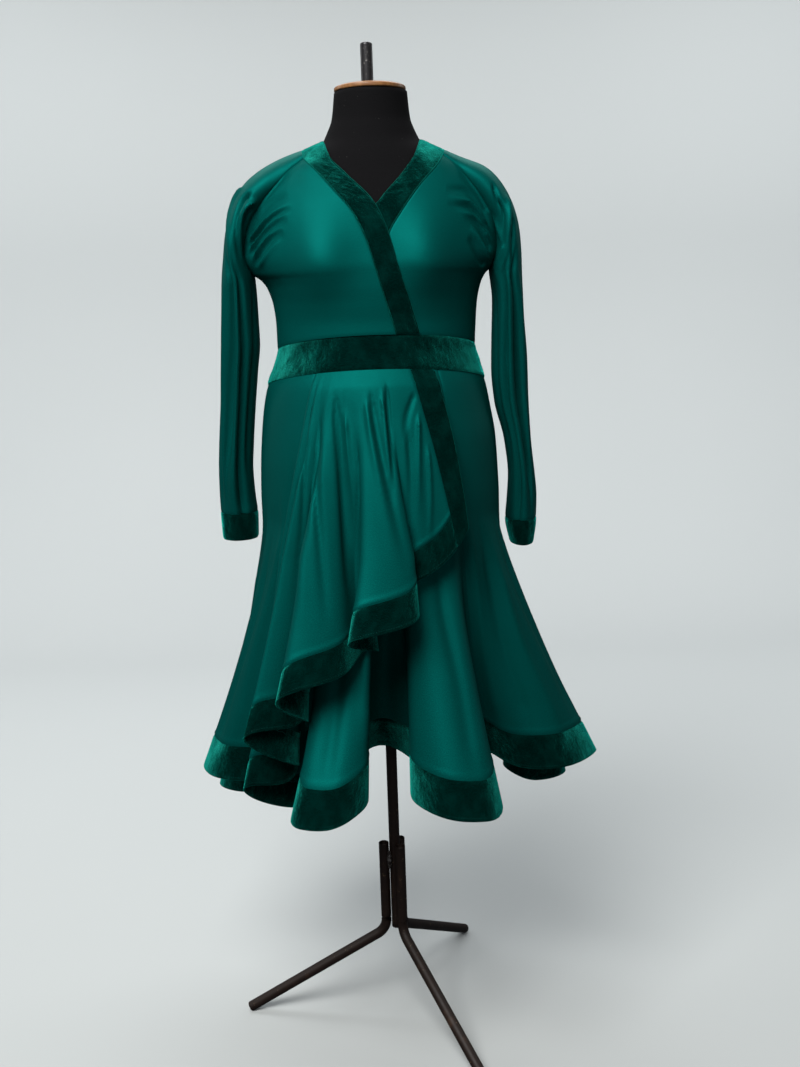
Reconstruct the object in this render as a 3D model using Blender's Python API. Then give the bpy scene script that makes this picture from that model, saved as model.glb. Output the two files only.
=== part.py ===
"""Ball gown on a limbless dress form with a three-legged steel stand.

The gown is a long-sleeved wrap dress of stretch satin with bands of velvet:
a crossed bodice with raglan sleeves, a fluted skirt of four panels, and a wrap
overskirt whose slanting hem falls in a cascade of flutes. Every piece of cloth
is a thin wall on the shape that the worn piece has. Metres, +Z up, the front
faces -Y, and right and left are the wearer's.
"""
import math

import bpy
import bmesh
import numpy as np
from mathutils import Vector

# Cloth and seams
SATIN = 0.0013
VELVET = 0.0020
SEAM = 0.0003
EASE = 0.0007
LAP = 0.0034

# Heights of the waistband, front and sides
WAIST_TOP_SIDE, WAIST_TOP_FRONT = 1.264, 1.290
WAIST_LOW_SIDE, WAIST_LOW_FRONT = 1.206, 1.235

# Velvet bands
SKIRT_BAND = 0.063
OVERSKIRT_BAND = 0.050

# Dress form and stand
FORM_BASE = 1.000
NECK_TOP = 1.683
CAP_RADIUS = 0.0595
CAP_RIM, CAP_DOME = 0.005, 0.013
POLE_RADIUS = 0.010
POLE_BOTTOM = 0.167
POLE_TOP = 1.760
LEG_RADIUS = 0.0095
LEG_OFFSET = 0.0203
LEG_TOP = 0.340
LEG_SPLAY = math.radians(30.0)
LEG_BEND = 0.035
FOOT_REACH = 0.290
FOOT_CUT = 0.0018
LEG_ANGLES = {"leg_right": 180.0, "leg_front": 300.0, "leg_back": 60.0}


class Table:
    """Rows of sizes under named columns, read smoothly between the rows."""

    def __init__(self, names, rows):
        self.names = names.split()
        self.rows = np.array(rows, float)

    def at(self, name, place):
        x = self.rows[:, 0]
        y = self.rows[:, self.names.index(name)]
        step = np.diff(x)
        rise = np.diff(y) / step
        slope = np.concatenate([rise[:1], np.zeros(len(x) - 2), rise[-1:]])
        same = rise[1:] * rise[:-1] > 0
        mean = 2 * rise[1:] * rise[:-1] / np.where(same, rise[1:] + rise[:-1], 1.0)
        slope[1:-1] = np.where(same, mean, 0.0)
        place = np.clip(np.asarray(place, float), x[0], x[-1])
        row = np.clip(np.searchsorted(x, place, side="right") - 1, 0, len(step) - 1)
        t = (place - x[row]) / step[row]
        h = step[row]
        return (y[row] * (1 + 2 * t) * (1 - t) ** 2 + slope[row] * h * t * (1 - t) ** 2
                + y[row + 1] * t * t * (3 - 2 * t) + slope[row + 1] * h * t * t * (t - 1))


# The worn body: half widths and depths of its oval at each height. The dress
# stands out from the form only at the armholes, where the sleeves pull it.
BODY = Table("height right left front back form_right form_left", [
    (0.400, 0.212, 0.206, 0.165, 0.160, 0.200, 0.200),
    (1.000, 0.212, 0.206, 0.165, 0.160, 0.208, 0.202),
    (1.060, 0.210, 0.204, 0.163, 0.158, 0.207, 0.201),
    (1.110, 0.206, 0.201, 0.158, 0.152, 0.204, 0.199),
    (1.160, 0.200, 0.193, 0.150, 0.142, 0.200, 0.193),
    (1.206, 0.190, 0.184, 0.142, 0.131, 0.190, 0.184),
    (1.235, 0.178, 0.175, 0.131, 0.123, 0.178, 0.175),
    (1.265, 0.169, 0.168, 0.124, 0.118, 0.169, 0.168),
    (1.306, 0.169, 0.170, 0.122, 0.118, 0.169, 0.170),
    (1.340, 0.172, 0.173, 0.125, 0.121, 0.172, 0.173),
    (1.370, 0.181, 0.180, 0.127, 0.124, 0.177, 0.176),
    (1.385, 0.192, 0.188, 0.127, 0.125, 0.178, 0.177),
    (1.395, 0.206, 0.198, 0.127, 0.126, 0.179, 0.178),
    (1.425, 0.224, 0.212, 0.123, 0.126, 0.180, 0.179),
    (1.465, 0.222, 0.214, 0.115, 0.122, 0.178, 0.178),
    (1.510, 0.206, 0.204, 0.104, 0.112, 0.170, 0.170),
    (1.550, 0.172, 0.176, 0.091, 0.098, 0.150, 0.152),
    (1.578, 0.130, 0.137, 0.082, 0.086, 0.122, 0.128),
    (1.600, 0.086, 0.092, 0.073, 0.074, 0.083, 0.089),
    (1.615, 0.073, 0.079, 0.067, 0.068, 0.073, 0.079),
    (1.640, 0.062, 0.069, 0.060, 0.060, 0.062, 0.069),
    (1.683, 0.056, 0.065, 0.058, 0.058, 0.056, 0.065),
])
BUST_X, BUST_Z, BUST_OUT = 0.088, 1.405, 0.022
BUST_WIDE, BUST_TALL = 0.048, 0.052


def body(u, z, shape="dress"):
    """Point of the worn body at angle u round it (front is -90 degrees) and height z."""
    u, z = np.broadcast_arrays(np.asarray(u, float), np.asarray(z, float))
    sides = ("right", "left") if shape == "dress" else ("form_right", "form_left")
    wide = np.where(np.cos(u) < 0, BODY.at(sides[0], z), BODY.at(sides[1], z))
    deep = np.where(np.sin(u) < 0, BODY.at("front", z), BODY.at("back", z))
    x = wide * np.cos(u)
    y = deep * np.sin(u)
    tall = np.where(z > BUST_Z, BUST_TALL * 1.5, BUST_TALL)
    rise = np.exp(-((z - BUST_Z) / tall) ** 2)
    cups = np.exp(-((x - BUST_X) / BUST_WIDE) ** 2) + np.exp(-((x + BUST_X) / BUST_WIDE) ** 2)
    front = np.clip(-np.sin(u) * 1.6, 0, 1) ** 2
    y = y - BUST_OUT * rise * cups * front
    return np.stack([x, y, z], axis=-1)


def angle_at(x, z, face):
    """Angle round the body where the dress is at x, on its front (-1) or back (+1)."""
    wide = np.where(x < 0, BODY.at("right", z), BODY.at("left", z))
    return face * np.arccos(np.clip(x / wide, -1, 1))


def normals(surface, a, b, outward):
    """Unit normals of a surface(a, b) turned to the side that outward points to."""
    e = 1e-4
    da = surface(a + e, b) - surface(a - e, b)
    db = surface(a, b + e) - surface(a, b - e)
    n = np.cross(da, db)
    n /= np.maximum(np.linalg.norm(n, axis=-1, keepdims=True), 1e-12)
    flip = np.sign(np.sum(n * outward, axis=-1, keepdims=True))
    return n * np.where(flip == 0, 1, flip)


def body_cloth(u, z, off):
    """Point that stands off the body by off, for cloth that lies on it."""
    point = body(u, z)
    n = normals(body, u, z, point * np.array([1.0, 1.0, 0.0]))
    return point + n * off


def waist(u, top):
    """Height of the waistband's top or lower edge, which rises over the front."""
    side, front = (WAIST_TOP_SIDE, WAIST_TOP_FRONT) if top else (WAIST_LOW_SIDE, WAIST_LOW_FRONT)
    return side + (front - side) * np.clip(-np.sin(u), 0, 1)


def material(name, colour, roughness, metallic=0.0):
    m = bpy.data.materials.new(name)
    m.use_nodes = True
    shader = m.node_tree.nodes["Principled BSDF"]
    shader.inputs["Base Color"].default_value = (*colour, 1.0)
    shader.inputs["Roughness"].default_value = roughness
    shader.inputs["Metallic"].default_value = metallic
    return m


def add_object(name, points, faces, finish, smooth_angle=40.0):
    """A named object from points and faces, standing on the common placing empty."""
    mesh = bpy.data.meshes.new(name)
    mesh.from_pydata([tuple(p) for p in points], [], faces)
    mesh.shade_smooth()
    mesh.set_sharp_from_angle(angle=math.radians(smooth_angle))
    mesh.materials.append(finish)
    ob = bpy.data.objects.new(name, mesh)
    bpy.context.scene.collection.objects.link(ob)
    ob.parent = stand_place
    return ob


def wall(name, outer, inner, finish, ring=False):
    """A closed wall between two grids of points, columns by rows.

    Seen from outside, columns run to the right and rows run down. A ring joins
    its last column to its first.
    """
    cols, rows = outer.shape[:2]
    points = np.concatenate([outer.reshape(-1, 3), inner.reshape(-1, 3)])
    shift = cols * rows
    faces = []

    def quad(a, b, c, d):
        faces.append((a, b, c))
        faces.append((a, c, d))

    for i in range(cols if ring else cols - 1):
        k = (i + 1) % cols
        for j in range(rows - 1):
            a, b, c, d = i * rows + j, i * rows + j + 1, k * rows + j + 1, k * rows + j
            quad(a, b, c, d)
            faces.append((a + shift, c + shift, b + shift))
            faces.append((a + shift, d + shift, c + shift))
        top_a, top_b = i * rows, k * rows
        low_a, low_b = top_a + rows - 1, top_b + rows - 1
        quad(top_a, top_b, top_b + shift, top_a + shift)
        quad(low_a, low_a + shift, low_b + shift, low_b)
    if not ring:
        for j in range(rows - 1):
            quad(j, j + shift, j + 1 + shift, j + 1)
            a = (cols - 1) * rows + j
            quad(a, a + 1, a + 1 + shift, a + shift)
    return add_object(name, points, faces, finish)


def grid(columns, rows):
    return np.meshgrid(np.asarray(columns, float), np.asarray(rows, float), indexing="ij")


def unit(v):
    return v / np.maximum(np.linalg.norm(v, axis=-1, keepdims=True), 1e-12)


def trim(surfaces, edges, gap=SEAM * 0.8):
    """Pulls the named edges of a wall's two grids back from the seams that they share."""
    for g in surfaces:
        if "first" in edges:
            g[0] += unit(g[1] - g[0]) * gap
        if "last" in edges:
            g[-1] += unit(g[-2] - g[-1]) * gap
        if "top" in edges:
            g[:, 0] += unit(g[:, 1] - g[:, 0]) * gap
        if "low" in edges:
            g[:, -1] += unit(g[:, -2] - g[:, -1]) * gap


for old in list(bpy.data.objects):
    bpy.data.objects.remove(old, do_unlink=True)

# The pole's axis stands here, so that the whole object is centred on the origin
AXIS_X, AXIS_Y = -0.0160, -0.0110
stand_place = bpy.data.objects.new("stand_place", None)
stand_place.location = (AXIS_X, AXIS_Y, 0.0)
bpy.context.scene.collection.objects.link(stand_place)

satin = material("satin", (0.004, 0.105, 0.088), 0.35)
velvet = material("velvet", (0.003, 0.035, 0.030), 0.8)
jersey = material("form_jersey", (0.018, 0.018, 0.019), 0.9)
wood = material("cap_wood", (0.45, 0.20, 0.07), 0.45)
steel = material("stand_steel", (0.020, 0.011, 0.007), 0.45, 0.4)
pole_steel = material("pole_steel", (0.030, 0.030, 0.032), 0.35, 0.8)


# Stand: pole, three bent tube legs and the welds that hold them
def tube(name, path, radius, sides, finish, recess=None):
    """A round bar along a path, its start hollowed by recess=(radius, depth)."""
    path = [Vector(p) for p in path]
    rings = []
    for i, p in enumerate(path):
        ahead = path[min(i + 1, len(path) - 1)] - path[max(i - 1, 0)]
        ahead.normalize()
        side = Vector((-ahead.y, ahead.x, 0.0))
        if side.length < 1e-6:
            side = Vector((0.0, 1.0, 0.0))
        if i and side.dot(rings[-1][2]) < 0:
            side.negate()
        side.normalize()
        rings.append((p, ahead, side))
    levels = [(p, side, ahead.cross(side), radius) for p, ahead, side in rings]
    if recess:
        p, side, up, _ = levels[0]
        down = (path[1] - path[0]).normalized() * recess[1]
        levels = [(p + down, side, up, recess[0]), (p, side, up, recess[0])] + levels
    points = []
    for p, side, up, r in levels:
        for k in range(sides):
            a = 2 * math.pi * k / sides
            points.append(p + side * (r * math.cos(a)) + up * (r * math.sin(a)))
    faces = []
    for i in range(len(levels) - 1):
        for k in range(sides):
            n = (k + 1) % sides
            faces.append((i * sides + k, i * sides + n, (i + 1) * sides + n, (i + 1) * sides + k))
    faces.append(tuple(reversed(range(sides))))
    last = (len(levels) - 1) * sides
    faces.append(tuple(range(last, last + sides)))
    ob = add_object(name, points, faces, finish)
    bm = bmesh.new()
    bm.from_mesh(ob.data)
    bmesh.ops.recalc_face_normals(bm, faces=bm.faces[:])
    bm.to_mesh(ob.data)
    bm.free()
    return ob


def leg_path(angle):
    """Centre line of a leg: down beside the pole, round the bend, out to the foot."""
    turn = math.pi / 2 - LEG_SPLAY
    reach = FOOT_REACH - LEG_OFFSET - LEG_BEND * (1 - math.cos(turn))
    foot_z = LEG_RADIUS * math.cos(LEG_SPLAY) - FOOT_CUT
    bend_z = foot_z + reach * math.tan(LEG_SPLAY) + LEG_BEND * math.sin(turn)
    line = [(LEG_OFFSET, LEG_TOP), (LEG_OFFSET, bend_z + 0.001)]
    for k in range(1, 7):
        a = turn * k / 6
        line.append((LEG_OFFSET + LEG_BEND * (1 - math.cos(a)), bend_z - LEG_BEND * math.sin(a)))
    line.append((FOOT_REACH, foot_z))
    c, s = math.cos(math.radians(angle)), math.sin(math.radians(angle))
    return [(r * c, r * s, z) for r, z in line]


def rest_flat(ob):
    """Cuts the foot level with the floor, so that it stands on a small flat."""
    bm = bmesh.new()
    bm.from_mesh(ob.data)
    whole = bm.verts[:] + bm.edges[:] + bm.faces[:]
    cut = bmesh.ops.bisect_plane(bm, geom=whole, plane_co=(0, 0, 0), plane_no=(0, 0, 1), clear_inner=True)
    rim = [e for e in cut["geom_cut"] if isinstance(e, bmesh.types.BMEdge)]
    bmesh.ops.holes_fill(bm, edges=rim)
    bmesh.ops.recalc_face_normals(bm, faces=bm.faces[:])
    bm.to_mesh(ob.data)
    bm.free()


tube("pole", [(0, 0, FORM_BASE - SEAM), (0, 0, POLE_BOTTOM)], POLE_RADIUS, 16, steel)
for leg_name, leg_angle in LEG_ANGLES.items():
    leg = tube(leg_name, leg_path(leg_angle), LEG_RADIUS, 12, steel, recess=(0.0077, 0.012))
    rest_flat(leg)


def weld(name, angle, low, high):
    """A rippled bead in the groove between the pole and one leg."""
    c, s = math.cos(math.radians(angle)), math.sin(math.radians(angle))
    bead = 0.0042
    along = (POLE_RADIUS + SEAM + bead) ** 2 - (LEG_RADIUS + SEAM + bead) ** 2 + LEG_OFFSET ** 2
    along /= 2 * LEG_OFFSET
    aside = math.sqrt((POLE_RADIUS + SEAM + bead) ** 2 - along ** 2)
    centre = Vector((along * c - aside * s, along * s + aside * c, 0.0))
    path, sides = [], 7
    count = 7
    points = []
    for i in range(count):
        t = i / (count - 1)
        r = bead * (0.35 + 0.65 * math.sin(math.pi * (0.08 + 0.84 * t)) ** 0.5)
        r *= 0.90 + 0.10 * math.cos(math.pi * i)
        path.append((low + (high - low) * t, r))
    for z, r in path:
        for k in range(sides):
            a = 2 * math.pi * k / sides
            points.append(centre + Vector((r * math.cos(a), r * math.sin(a), z)))
    faces = [tuple(reversed(range(sides))), tuple(range((count - 1) * sides, count * sides))]
    for i in range(count - 1):
        for k in range(sides):
            n = (k + 1) % sides
            faces.append((i * sides + k, i * sides + n, (i + 1) * sides + n, (i + 1) * sides + k))
    add_object(name, points, faces, steel)


weld("weld_right", 180.0, 0.292, 0.326)
weld("weld_front", 300.0, 0.284, 0.314)
weld("weld_back", 60.0, 0.290, 0.322)


# Dress form: a smooth torso without limbs, a turned wooden cap and the pole's end
def closed_stack(name, rings, finish):
    """A solid through rings of points, listed from the bottom up, with flat ends."""
    count, sides = len(rings), len(rings[0])
    points = [p for ring in rings for p in ring]
    faces = []
    for i in range(count - 1):
        for k in range(sides):
            n = (k + 1) % sides
            faces.append((i * sides + k, i * sides + n, (i + 1) * sides + n, (i + 1) * sides + k))
    faces.append(tuple(reversed(range(sides))))
    faces.append(tuple(range((count - 1) * sides, count * sides)))
    return add_object(name, points, faces, finish, smooth_angle=50.0)


FORM_SIDES = 40
FORM_CLEAR = 0.0016
FORM_HOLD_LOW, FORM_HOLD_HIGH = 1.238, 1.257
form_heights = [FORM_BASE, 1.080, 1.150, 1.195, 1.222, 1.240, 1.255, 1.275, 1.305, 1.345, 1.385,
                1.480, 1.530, 1.560, 1.580, 1.592, 1.600, 1.610, 1.640, NECK_TOP]


def form_ring(z):
    """Section of the form, which touches the dress at the waist and clears it above and below."""
    u = np.linspace(-math.pi, math.pi, FORM_SIDES, endpoint=False)
    point = body(u, np.full(FORM_SIDES, z), "form")
    off = FORM_CLEAR * np.clip(max(FORM_HOLD_LOW - z, z - FORM_HOLD_HIGH, 0) / 0.018, 0, 1)
    reach = np.linalg.norm(point[:, :2], axis=1, keepdims=True)
    point[:, :2] *= 1 - off / reach
    return point


closed_stack("form_torso", [form_ring(z) for z in form_heights], jersey)


def turned(name, centre_x, profile, sides, finish):
    """A turned solid from (radius, height) pairs, bottom up."""
    ring = np.linspace(0, 2 * math.pi, sides, endpoint=False)
    rings = []
    for r, z in profile:
        rings.append([(centre_x + r * math.cos(a), r * math.sin(a), z) for a in ring])
    return closed_stack(name, rings, finish)


CAP_X = 0.0035
cap_low = NECK_TOP + SEAM
cap_profile = [(CAP_RADIUS - 0.002, cap_low), (CAP_RADIUS, cap_low + 0.0015), (CAP_RADIUS, cap_low + CAP_RIM)]
for k in range(1, 6):
    lean = math.radians(16 * k)
    dome = (CAP_DOME - CAP_RIM)
    cap_profile.append((CAP_RADIUS * math.cos(lean), cap_low + CAP_RIM + dome * math.sin(lean)))
turned("neck_cap", CAP_X, cap_profile, 28, wood)
cap_top = cap_profile[-1][1]
turned("pole_top", 0.0, [(POLE_RADIUS, cap_top + SEAM), (POLE_RADIUS, POLE_TOP - 0.004),
                         (POLE_RADIUS * 0.9, POLE_TOP - 0.0012), (POLE_RADIUS * 0.7, POLE_TOP)], 16, pole_steel)


# Bodice: the raglan seams, shared by the fronts, the back and the sleeves
RAGLAN = Table("height right left", [
    (1.395, 0.2060, 0.1980),
    (1.410, 0.2130, 0.2040),
    (1.430, 0.2165, 0.2075),
    (1.465, 0.2090, 0.2040),
    (1.490, 0.1950, 0.1920),
    (1.515, 0.1760, 0.1760),
    (1.535, 0.1560, 0.1600),
    (1.556, 0.1340, 0.1420),
    (1.574, 0.1085, 0.1190),
])
ARMPIT, RAGLAN_TOP = 1.395, 1.574
RAGLAN_ROWS = np.array([1.574, 1.554, 1.531, 1.506, 1.480, 1.455, 1.430, 1.410, 1.395])
SIDE_ROWS = np.array([1.380, 1.362, 1.335, 1.300, WAIST_TOP_SIDE])
SLEEVE_COLUMNS = np.concatenate([[0.0], np.linspace(0.045, 0.955, 15), [1.0]])
SIDES = {"right": -1, "left": 1}


def raglan(z, side, face):
    """Angle round the body of a raglan seam at height z; side -1 is the right."""
    name = "right" if side < 0 else "left"
    return angle_at(side * RAGLAN.at(name, z), z, face)


# Sleeves: each station has its crest, the point over its seam or underarm, its
# half depth front to back and the shift of its middle to the back
SLEEVE = {-1: Table("t crest_x crest_z under_x under_z deep back", [
    (0.00, 0.1120, 1.5915, 0.1085, 1.5740, 0.0400, 0.000),
    (0.06, 0.1480, 1.5800, 0.1400, 1.5510, 0.0520, 0.000),
    (0.12, 0.1840, 1.5620, 0.1640, 1.5270, 0.0600, 0.000),
    (0.18, 0.2150, 1.5370, 0.1870, 1.5010, 0.0640, 0.000),
    (0.24, 0.2360, 1.4990, 0.2045, 1.4750, 0.0650, 0.000),
    (0.30, 0.2470, 1.4600, 0.2150, 1.4440, 0.0640, 0.000),
    (0.36, 0.2530, 1.4200, 0.2170, 1.4180, 0.0620, 0.000),
    (0.41, 0.2580, 1.3870, 0.2060, 1.3950, 0.0600, 0.002),
    (0.48, 0.2630, 1.3400, 0.2040, 1.3430, 0.0560, 0.006),
    (0.56, 0.2690, 1.2850, 0.2040, 1.2850, 0.0520, 0.012),
    (0.64, 0.2745, 1.2290, 0.2110, 1.2290, 0.0480, 0.018),
    (0.72, 0.2790, 1.1730, 0.2185, 1.1730, 0.0450, 0.024),
    (0.80, 0.2860, 1.1090, 0.2260, 1.1090, 0.0430, 0.030),
    (0.88, 0.2910, 1.0500, 0.2310, 1.0500, 0.0400, 0.036),
    (0.95, 0.2925, 1.0050, 0.2300, 1.0050, 0.0380, 0.042),
    (1.00, 0.2920, 0.9780, 0.2280, 0.9780, 0.0370, 0.045),
    (1.08, 0.2905, 0.9300, 0.2300, 0.9300, 0.0360, 0.049),
]), 1: Table("t crest_x crest_z under_x under_z deep back", [
    (0.00, 0.1220, 1.5860, 0.1190, 1.5740, 0.0400, 0.000),
    (0.06, 0.1540, 1.5720, 0.1465, 1.5510, 0.0520, 0.000),
    (0.12, 0.1910, 1.5580, 0.1670, 1.5270, 0.0600, 0.000),
    (0.18, 0.2190, 1.5290, 0.1865, 1.5010, 0.0640, 0.000),
    (0.24, 0.2370, 1.4930, 0.2000, 1.4750, 0.0650, 0.000),
    (0.30, 0.2465, 1.4540, 0.2075, 1.4440, 0.0640, 0.000),
    (0.36, 0.2495, 1.4150, 0.2070, 1.4180, 0.0620, 0.000),
    (0.41, 0.2505, 1.3820, 0.1980, 1.3950, 0.0600, 0.002),
    (0.48, 0.2535, 1.3350, 0.2035, 1.3400, 0.0560, 0.006),
    (0.56, 0.2570, 1.2800, 0.2020, 1.2800, 0.0520, 0.012),
    (0.64, 0.2600, 1.2220, 0.2010, 1.2220, 0.0490, 0.018),
    (0.72, 0.2620, 1.1640, 0.2060, 1.1640, 0.0460, 0.024),
    (0.80, 0.2660, 1.0950, 0.2230, 1.0950, 0.0440, 0.030),
    (0.88, 0.2730, 1.0300, 0.2300, 1.0300, 0.0430, 0.036),
    (0.95, 0.2775, 0.9830, 0.2275, 0.9830, 0.0430, 0.040),
    (1.00, 0.2780, 0.9500, 0.2250, 0.9500, 0.0430, 0.043),
    (1.08, 0.2715, 0.9050, 0.2330, 0.9050, 0.0420, 0.046),
])}

# Soft folds that run down a hanging sleeve: angle from the crest, width, depth
SLEEVE_FOLDS = [(-1.15, 0.26, -0.13), (-0.35, 0.30, -0.08), (0.60, 0.32, -0.09), (1.60, 0.30, -0.10)]


def sleeve_folds(a, t):
    grow = np.clip((t - 0.42) / 0.2, 0, 1) * np.clip((1.12 - t) / 0.2, 0.25, 1)
    total = np.zeros(np.broadcast(a, t).shape)
    for place, wide, depth in SLEEVE_FOLDS:
        drift = 0.15 * np.sin(3.1 * t + 2.0 * place)
        total = total + depth * np.exp(-((a - place - drift) / wide) ** 2)
    return total * grow


def sleeve_point(side, q, t):
    """Point of a sleeve: q runs round it from its front seam over the crest to its back seam."""
    table = SLEEVE[side]
    crest_x, crest_z = table.at("crest_x", t), table.at("crest_z", t)
    under_x, under_z = table.at("under_x", t), table.at("under_z", t)
    on_body = under_z >= ARMPIT
    height = np.clip(under_z, ARMPIT, RAGLAN_TOP)
    seam_front = body(raglan(height, side, -1), height)
    seam_back = body(raglan(height, side, 1), height)
    half = np.where(on_body, (seam_back[..., 1] - seam_front[..., 1]) / 2, 0.0)
    middle = np.where(on_body, (seam_back[..., 1] + seam_front[..., 1]) / 2, 0.0)
    under_x = np.where(on_body, np.abs(seam_front[..., 0]), under_x)
    deep = np.maximum(table.at("deep", t), half + 1e-5)
    wrap = np.arccos(np.clip(half / deep, 0, 1))
    reach_x = (crest_x - under_x) / (1 + np.sin(wrap))
    reach_z = (crest_z - under_z) / (1 + np.sin(wrap))
    a = (q * 2 - 1) * (math.pi / 2 + wrap)
    fold = 1 + sleeve_folds(a, t)
    x = crest_x - reach_x + reach_x * np.cos(a) * fold
    y = middle + table.at("back", t) + deep * np.sin(a) * fold
    z = crest_z - reach_z + reach_z * np.cos(a)
    return np.stack([side * x, y, z], axis=-1)


def sleeve_normal(side, q, t):
    def surface(a, b):
        return sleeve_point(side, a, b)
    inside = (surface(0.5 + 0 * q, t) + surface(0.02 + 0 * q, t) + surface(0.98 + 0 * q, t)) / 3
    q_in = np.clip(q, 0.01, 0.99)
    return normals(surface, q_in, t, surface(q_in, t) - inside)


def station(side, height):
    """Place along a sleeve where its seam is at the given height."""
    t = np.linspace(0, 0.41, 400)
    return np.interp(-height, -SLEEVE[side].at("under_z", t), t)


def seam_frame(points, lean):
    """Directions along which cut edges stand at a seam, and across it."""
    along = np.gradient(points, axis=0)
    return lean, unit(np.cross(along, lean))


def raglan_seam(side, face):
    """Points of a raglan seam, the lean of its edges, the way across it to the body and its hold.

    The hold fades at the tip of the armpit, where both cloths fold back on each other.
    """
    h = RAGLAN_ROWS
    u = raglan(h, side, face)
    point = body(u, h)
    on_body = unit(body_cloth(u, h, 1.0) - point)
    q = np.full(len(h), 0.0 if face < 0 else 1.0)
    on_sleeve = sleeve_normal(side, q, station(side, h))
    lean, across = seam_frame(point, unit(on_body + on_sleeve))
    q_in = np.abs(q - 0.05)
    to_sleeve = unit(sleeve_point(side, q_in, station(side, h)) - point)
    centre = face * math.pi / 2
    to_body = unit(body(u + (centre - u) * 0.05, h) - point)
    across *= np.sign(np.sum(across * (to_body - to_sleeve), axis=-1, keepdims=True))
    hold = np.ones((len(h), 1))
    hold[-1] = 0
    return point, lean, across, hold


def nip(height, y):
    """How near a place is to the tip of the armpit, where the walls have no room outward."""
    return np.exp(-((height - ARMPIT) / 0.020) ** 2 - (y / 0.030) ** 2)


# Edges of the neckbands. The right one laps over and runs on to the waistband,
# the left one goes in under it, t=0 at the shoulder.
NECK_EDGE = {-1: Table("t out_x out_z in_x in_z", [
    (0.00, -0.1085, 1.5740, -0.0760, 1.6020),
    (0.10, -0.0870, 1.5520, -0.0660, 1.5740),
    (0.22, -0.0600, 1.5200, -0.0380, 1.5430),
    (0.36, -0.0300, 1.4820, 0.0030, 1.4980),
    (0.50, -0.0110, 1.4400, 0.0240, 1.4520),
    (0.66, 0.0050, 1.3860, 0.0400, 1.3940),
    (0.82, 0.0190, 1.3370, 0.0550, 1.3420),
    (1.00, 0.0320, 1.2900, 0.0690, 1.2900),
]), 1: Table("t out_x out_z in_x in_z", [
    (0.00, 0.1190, 1.5740, 0.0830, 1.6000),
    (0.10, 0.1060, 1.5550, 0.0730, 1.5740),
    (0.22, 0.0790, 1.5260, 0.0500, 1.5420),
    (0.36, 0.0480, 1.4850, 0.0170, 1.5060),
    (0.50, 0.0250, 1.4480, -0.0080, 1.4680),
    (0.66, 0.0120, 1.4000, 0.0, 1.4),
    (0.82, 0.0150, 1.3400, 0.0, 1.3),
    (1.00, 0.0250, 1.2900, 0.0, 1.2),
])}
EDGE_ROWS = np.array([0.035, 0.09, 0.15, 0.22, 0.30, 0.38, 0.46, 0.54, 0.61, 0.68, 0.76, 0.84, 0.92, 1.0])
LEFT_BAND_END = 8


def lap(z):
    """Share of the lap's height at a place of the overlapping neckband."""
    return np.clip((1.545 - z) / 0.040, 0, 1)


def neck_line(side):
    """Outer edge of a neckband: points, lean and way across it, in three runs.

    The runs are the front up to the shoulder, the top of the sleeve and the back
    to its middle; the way across points away from the neck.
    """
    edge = NECK_EDGE[side]
    rows = EDGE_ROWS[::-1]
    e = np.append(rows, 0.0)
    z = edge.at("out_z", e)
    u = angle_at(edge.at("out_x", e), z, -1)
    q = SLEEVE_COLUMNS[1:]
    s = np.linspace(0, 1, BACK_COLUMNS)[1:BACK_COLUMNS // 2 + 1]
    u_start, u_end = raglan(RAGLAN_TOP, 1, 1), raglan(RAGLAN_TOP, -1, 1)
    u_back = u_start + (u_end - u_start) * (s if side > 0 else 1 - s)
    z_back = RAGLAN_TOP - BACK_NECK_DIP * np.sin(math.pi * s)
    points = np.concatenate([body(u, z), sleeve_point(side, q, 0.0 * q), body(u_back, z_back)])
    lean = np.concatenate([body_cloth(u, z, 1.0) - body(u, z), sleeve_normal(side, q, 0.0 * q + 0.002),
                           body_cloth(u_back, z_back, 1.0) - body(u_back, z_back)])
    for _ in range(3):
        lean[1:-1] = unit(lean[:-2] + lean[1:-1] * 2 + lean[2:])
    lean, across = seam_frame(points, lean)
    away = points - np.array([0.0, 0.0, 1.75])
    away[:len(e)] = [side, 0.0, -0.4]
    across *= np.sign(np.sum(across * away, axis=-1, keepdims=True))
    runs = {"front": slice(0, len(e)), "sleeve": slice(len(e) - 1, len(e) + len(q)),
            "back": slice(len(e) + len(q) - 1, None)}
    return (points, lean, across, np.ones((len(points), 1))), runs


def lay_edge(outer, inner, seam, pick, off, thick, gap):
    """Puts the edge of two grids on a seam, gap across it."""
    point, lean, across, hold = seam
    outer[pick] += (point + lean * (off + thick) + across * gap - outer[pick]) * hold
    inner[pick] += (point + lean * off + across * gap - inner[pick]) * hold


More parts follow.
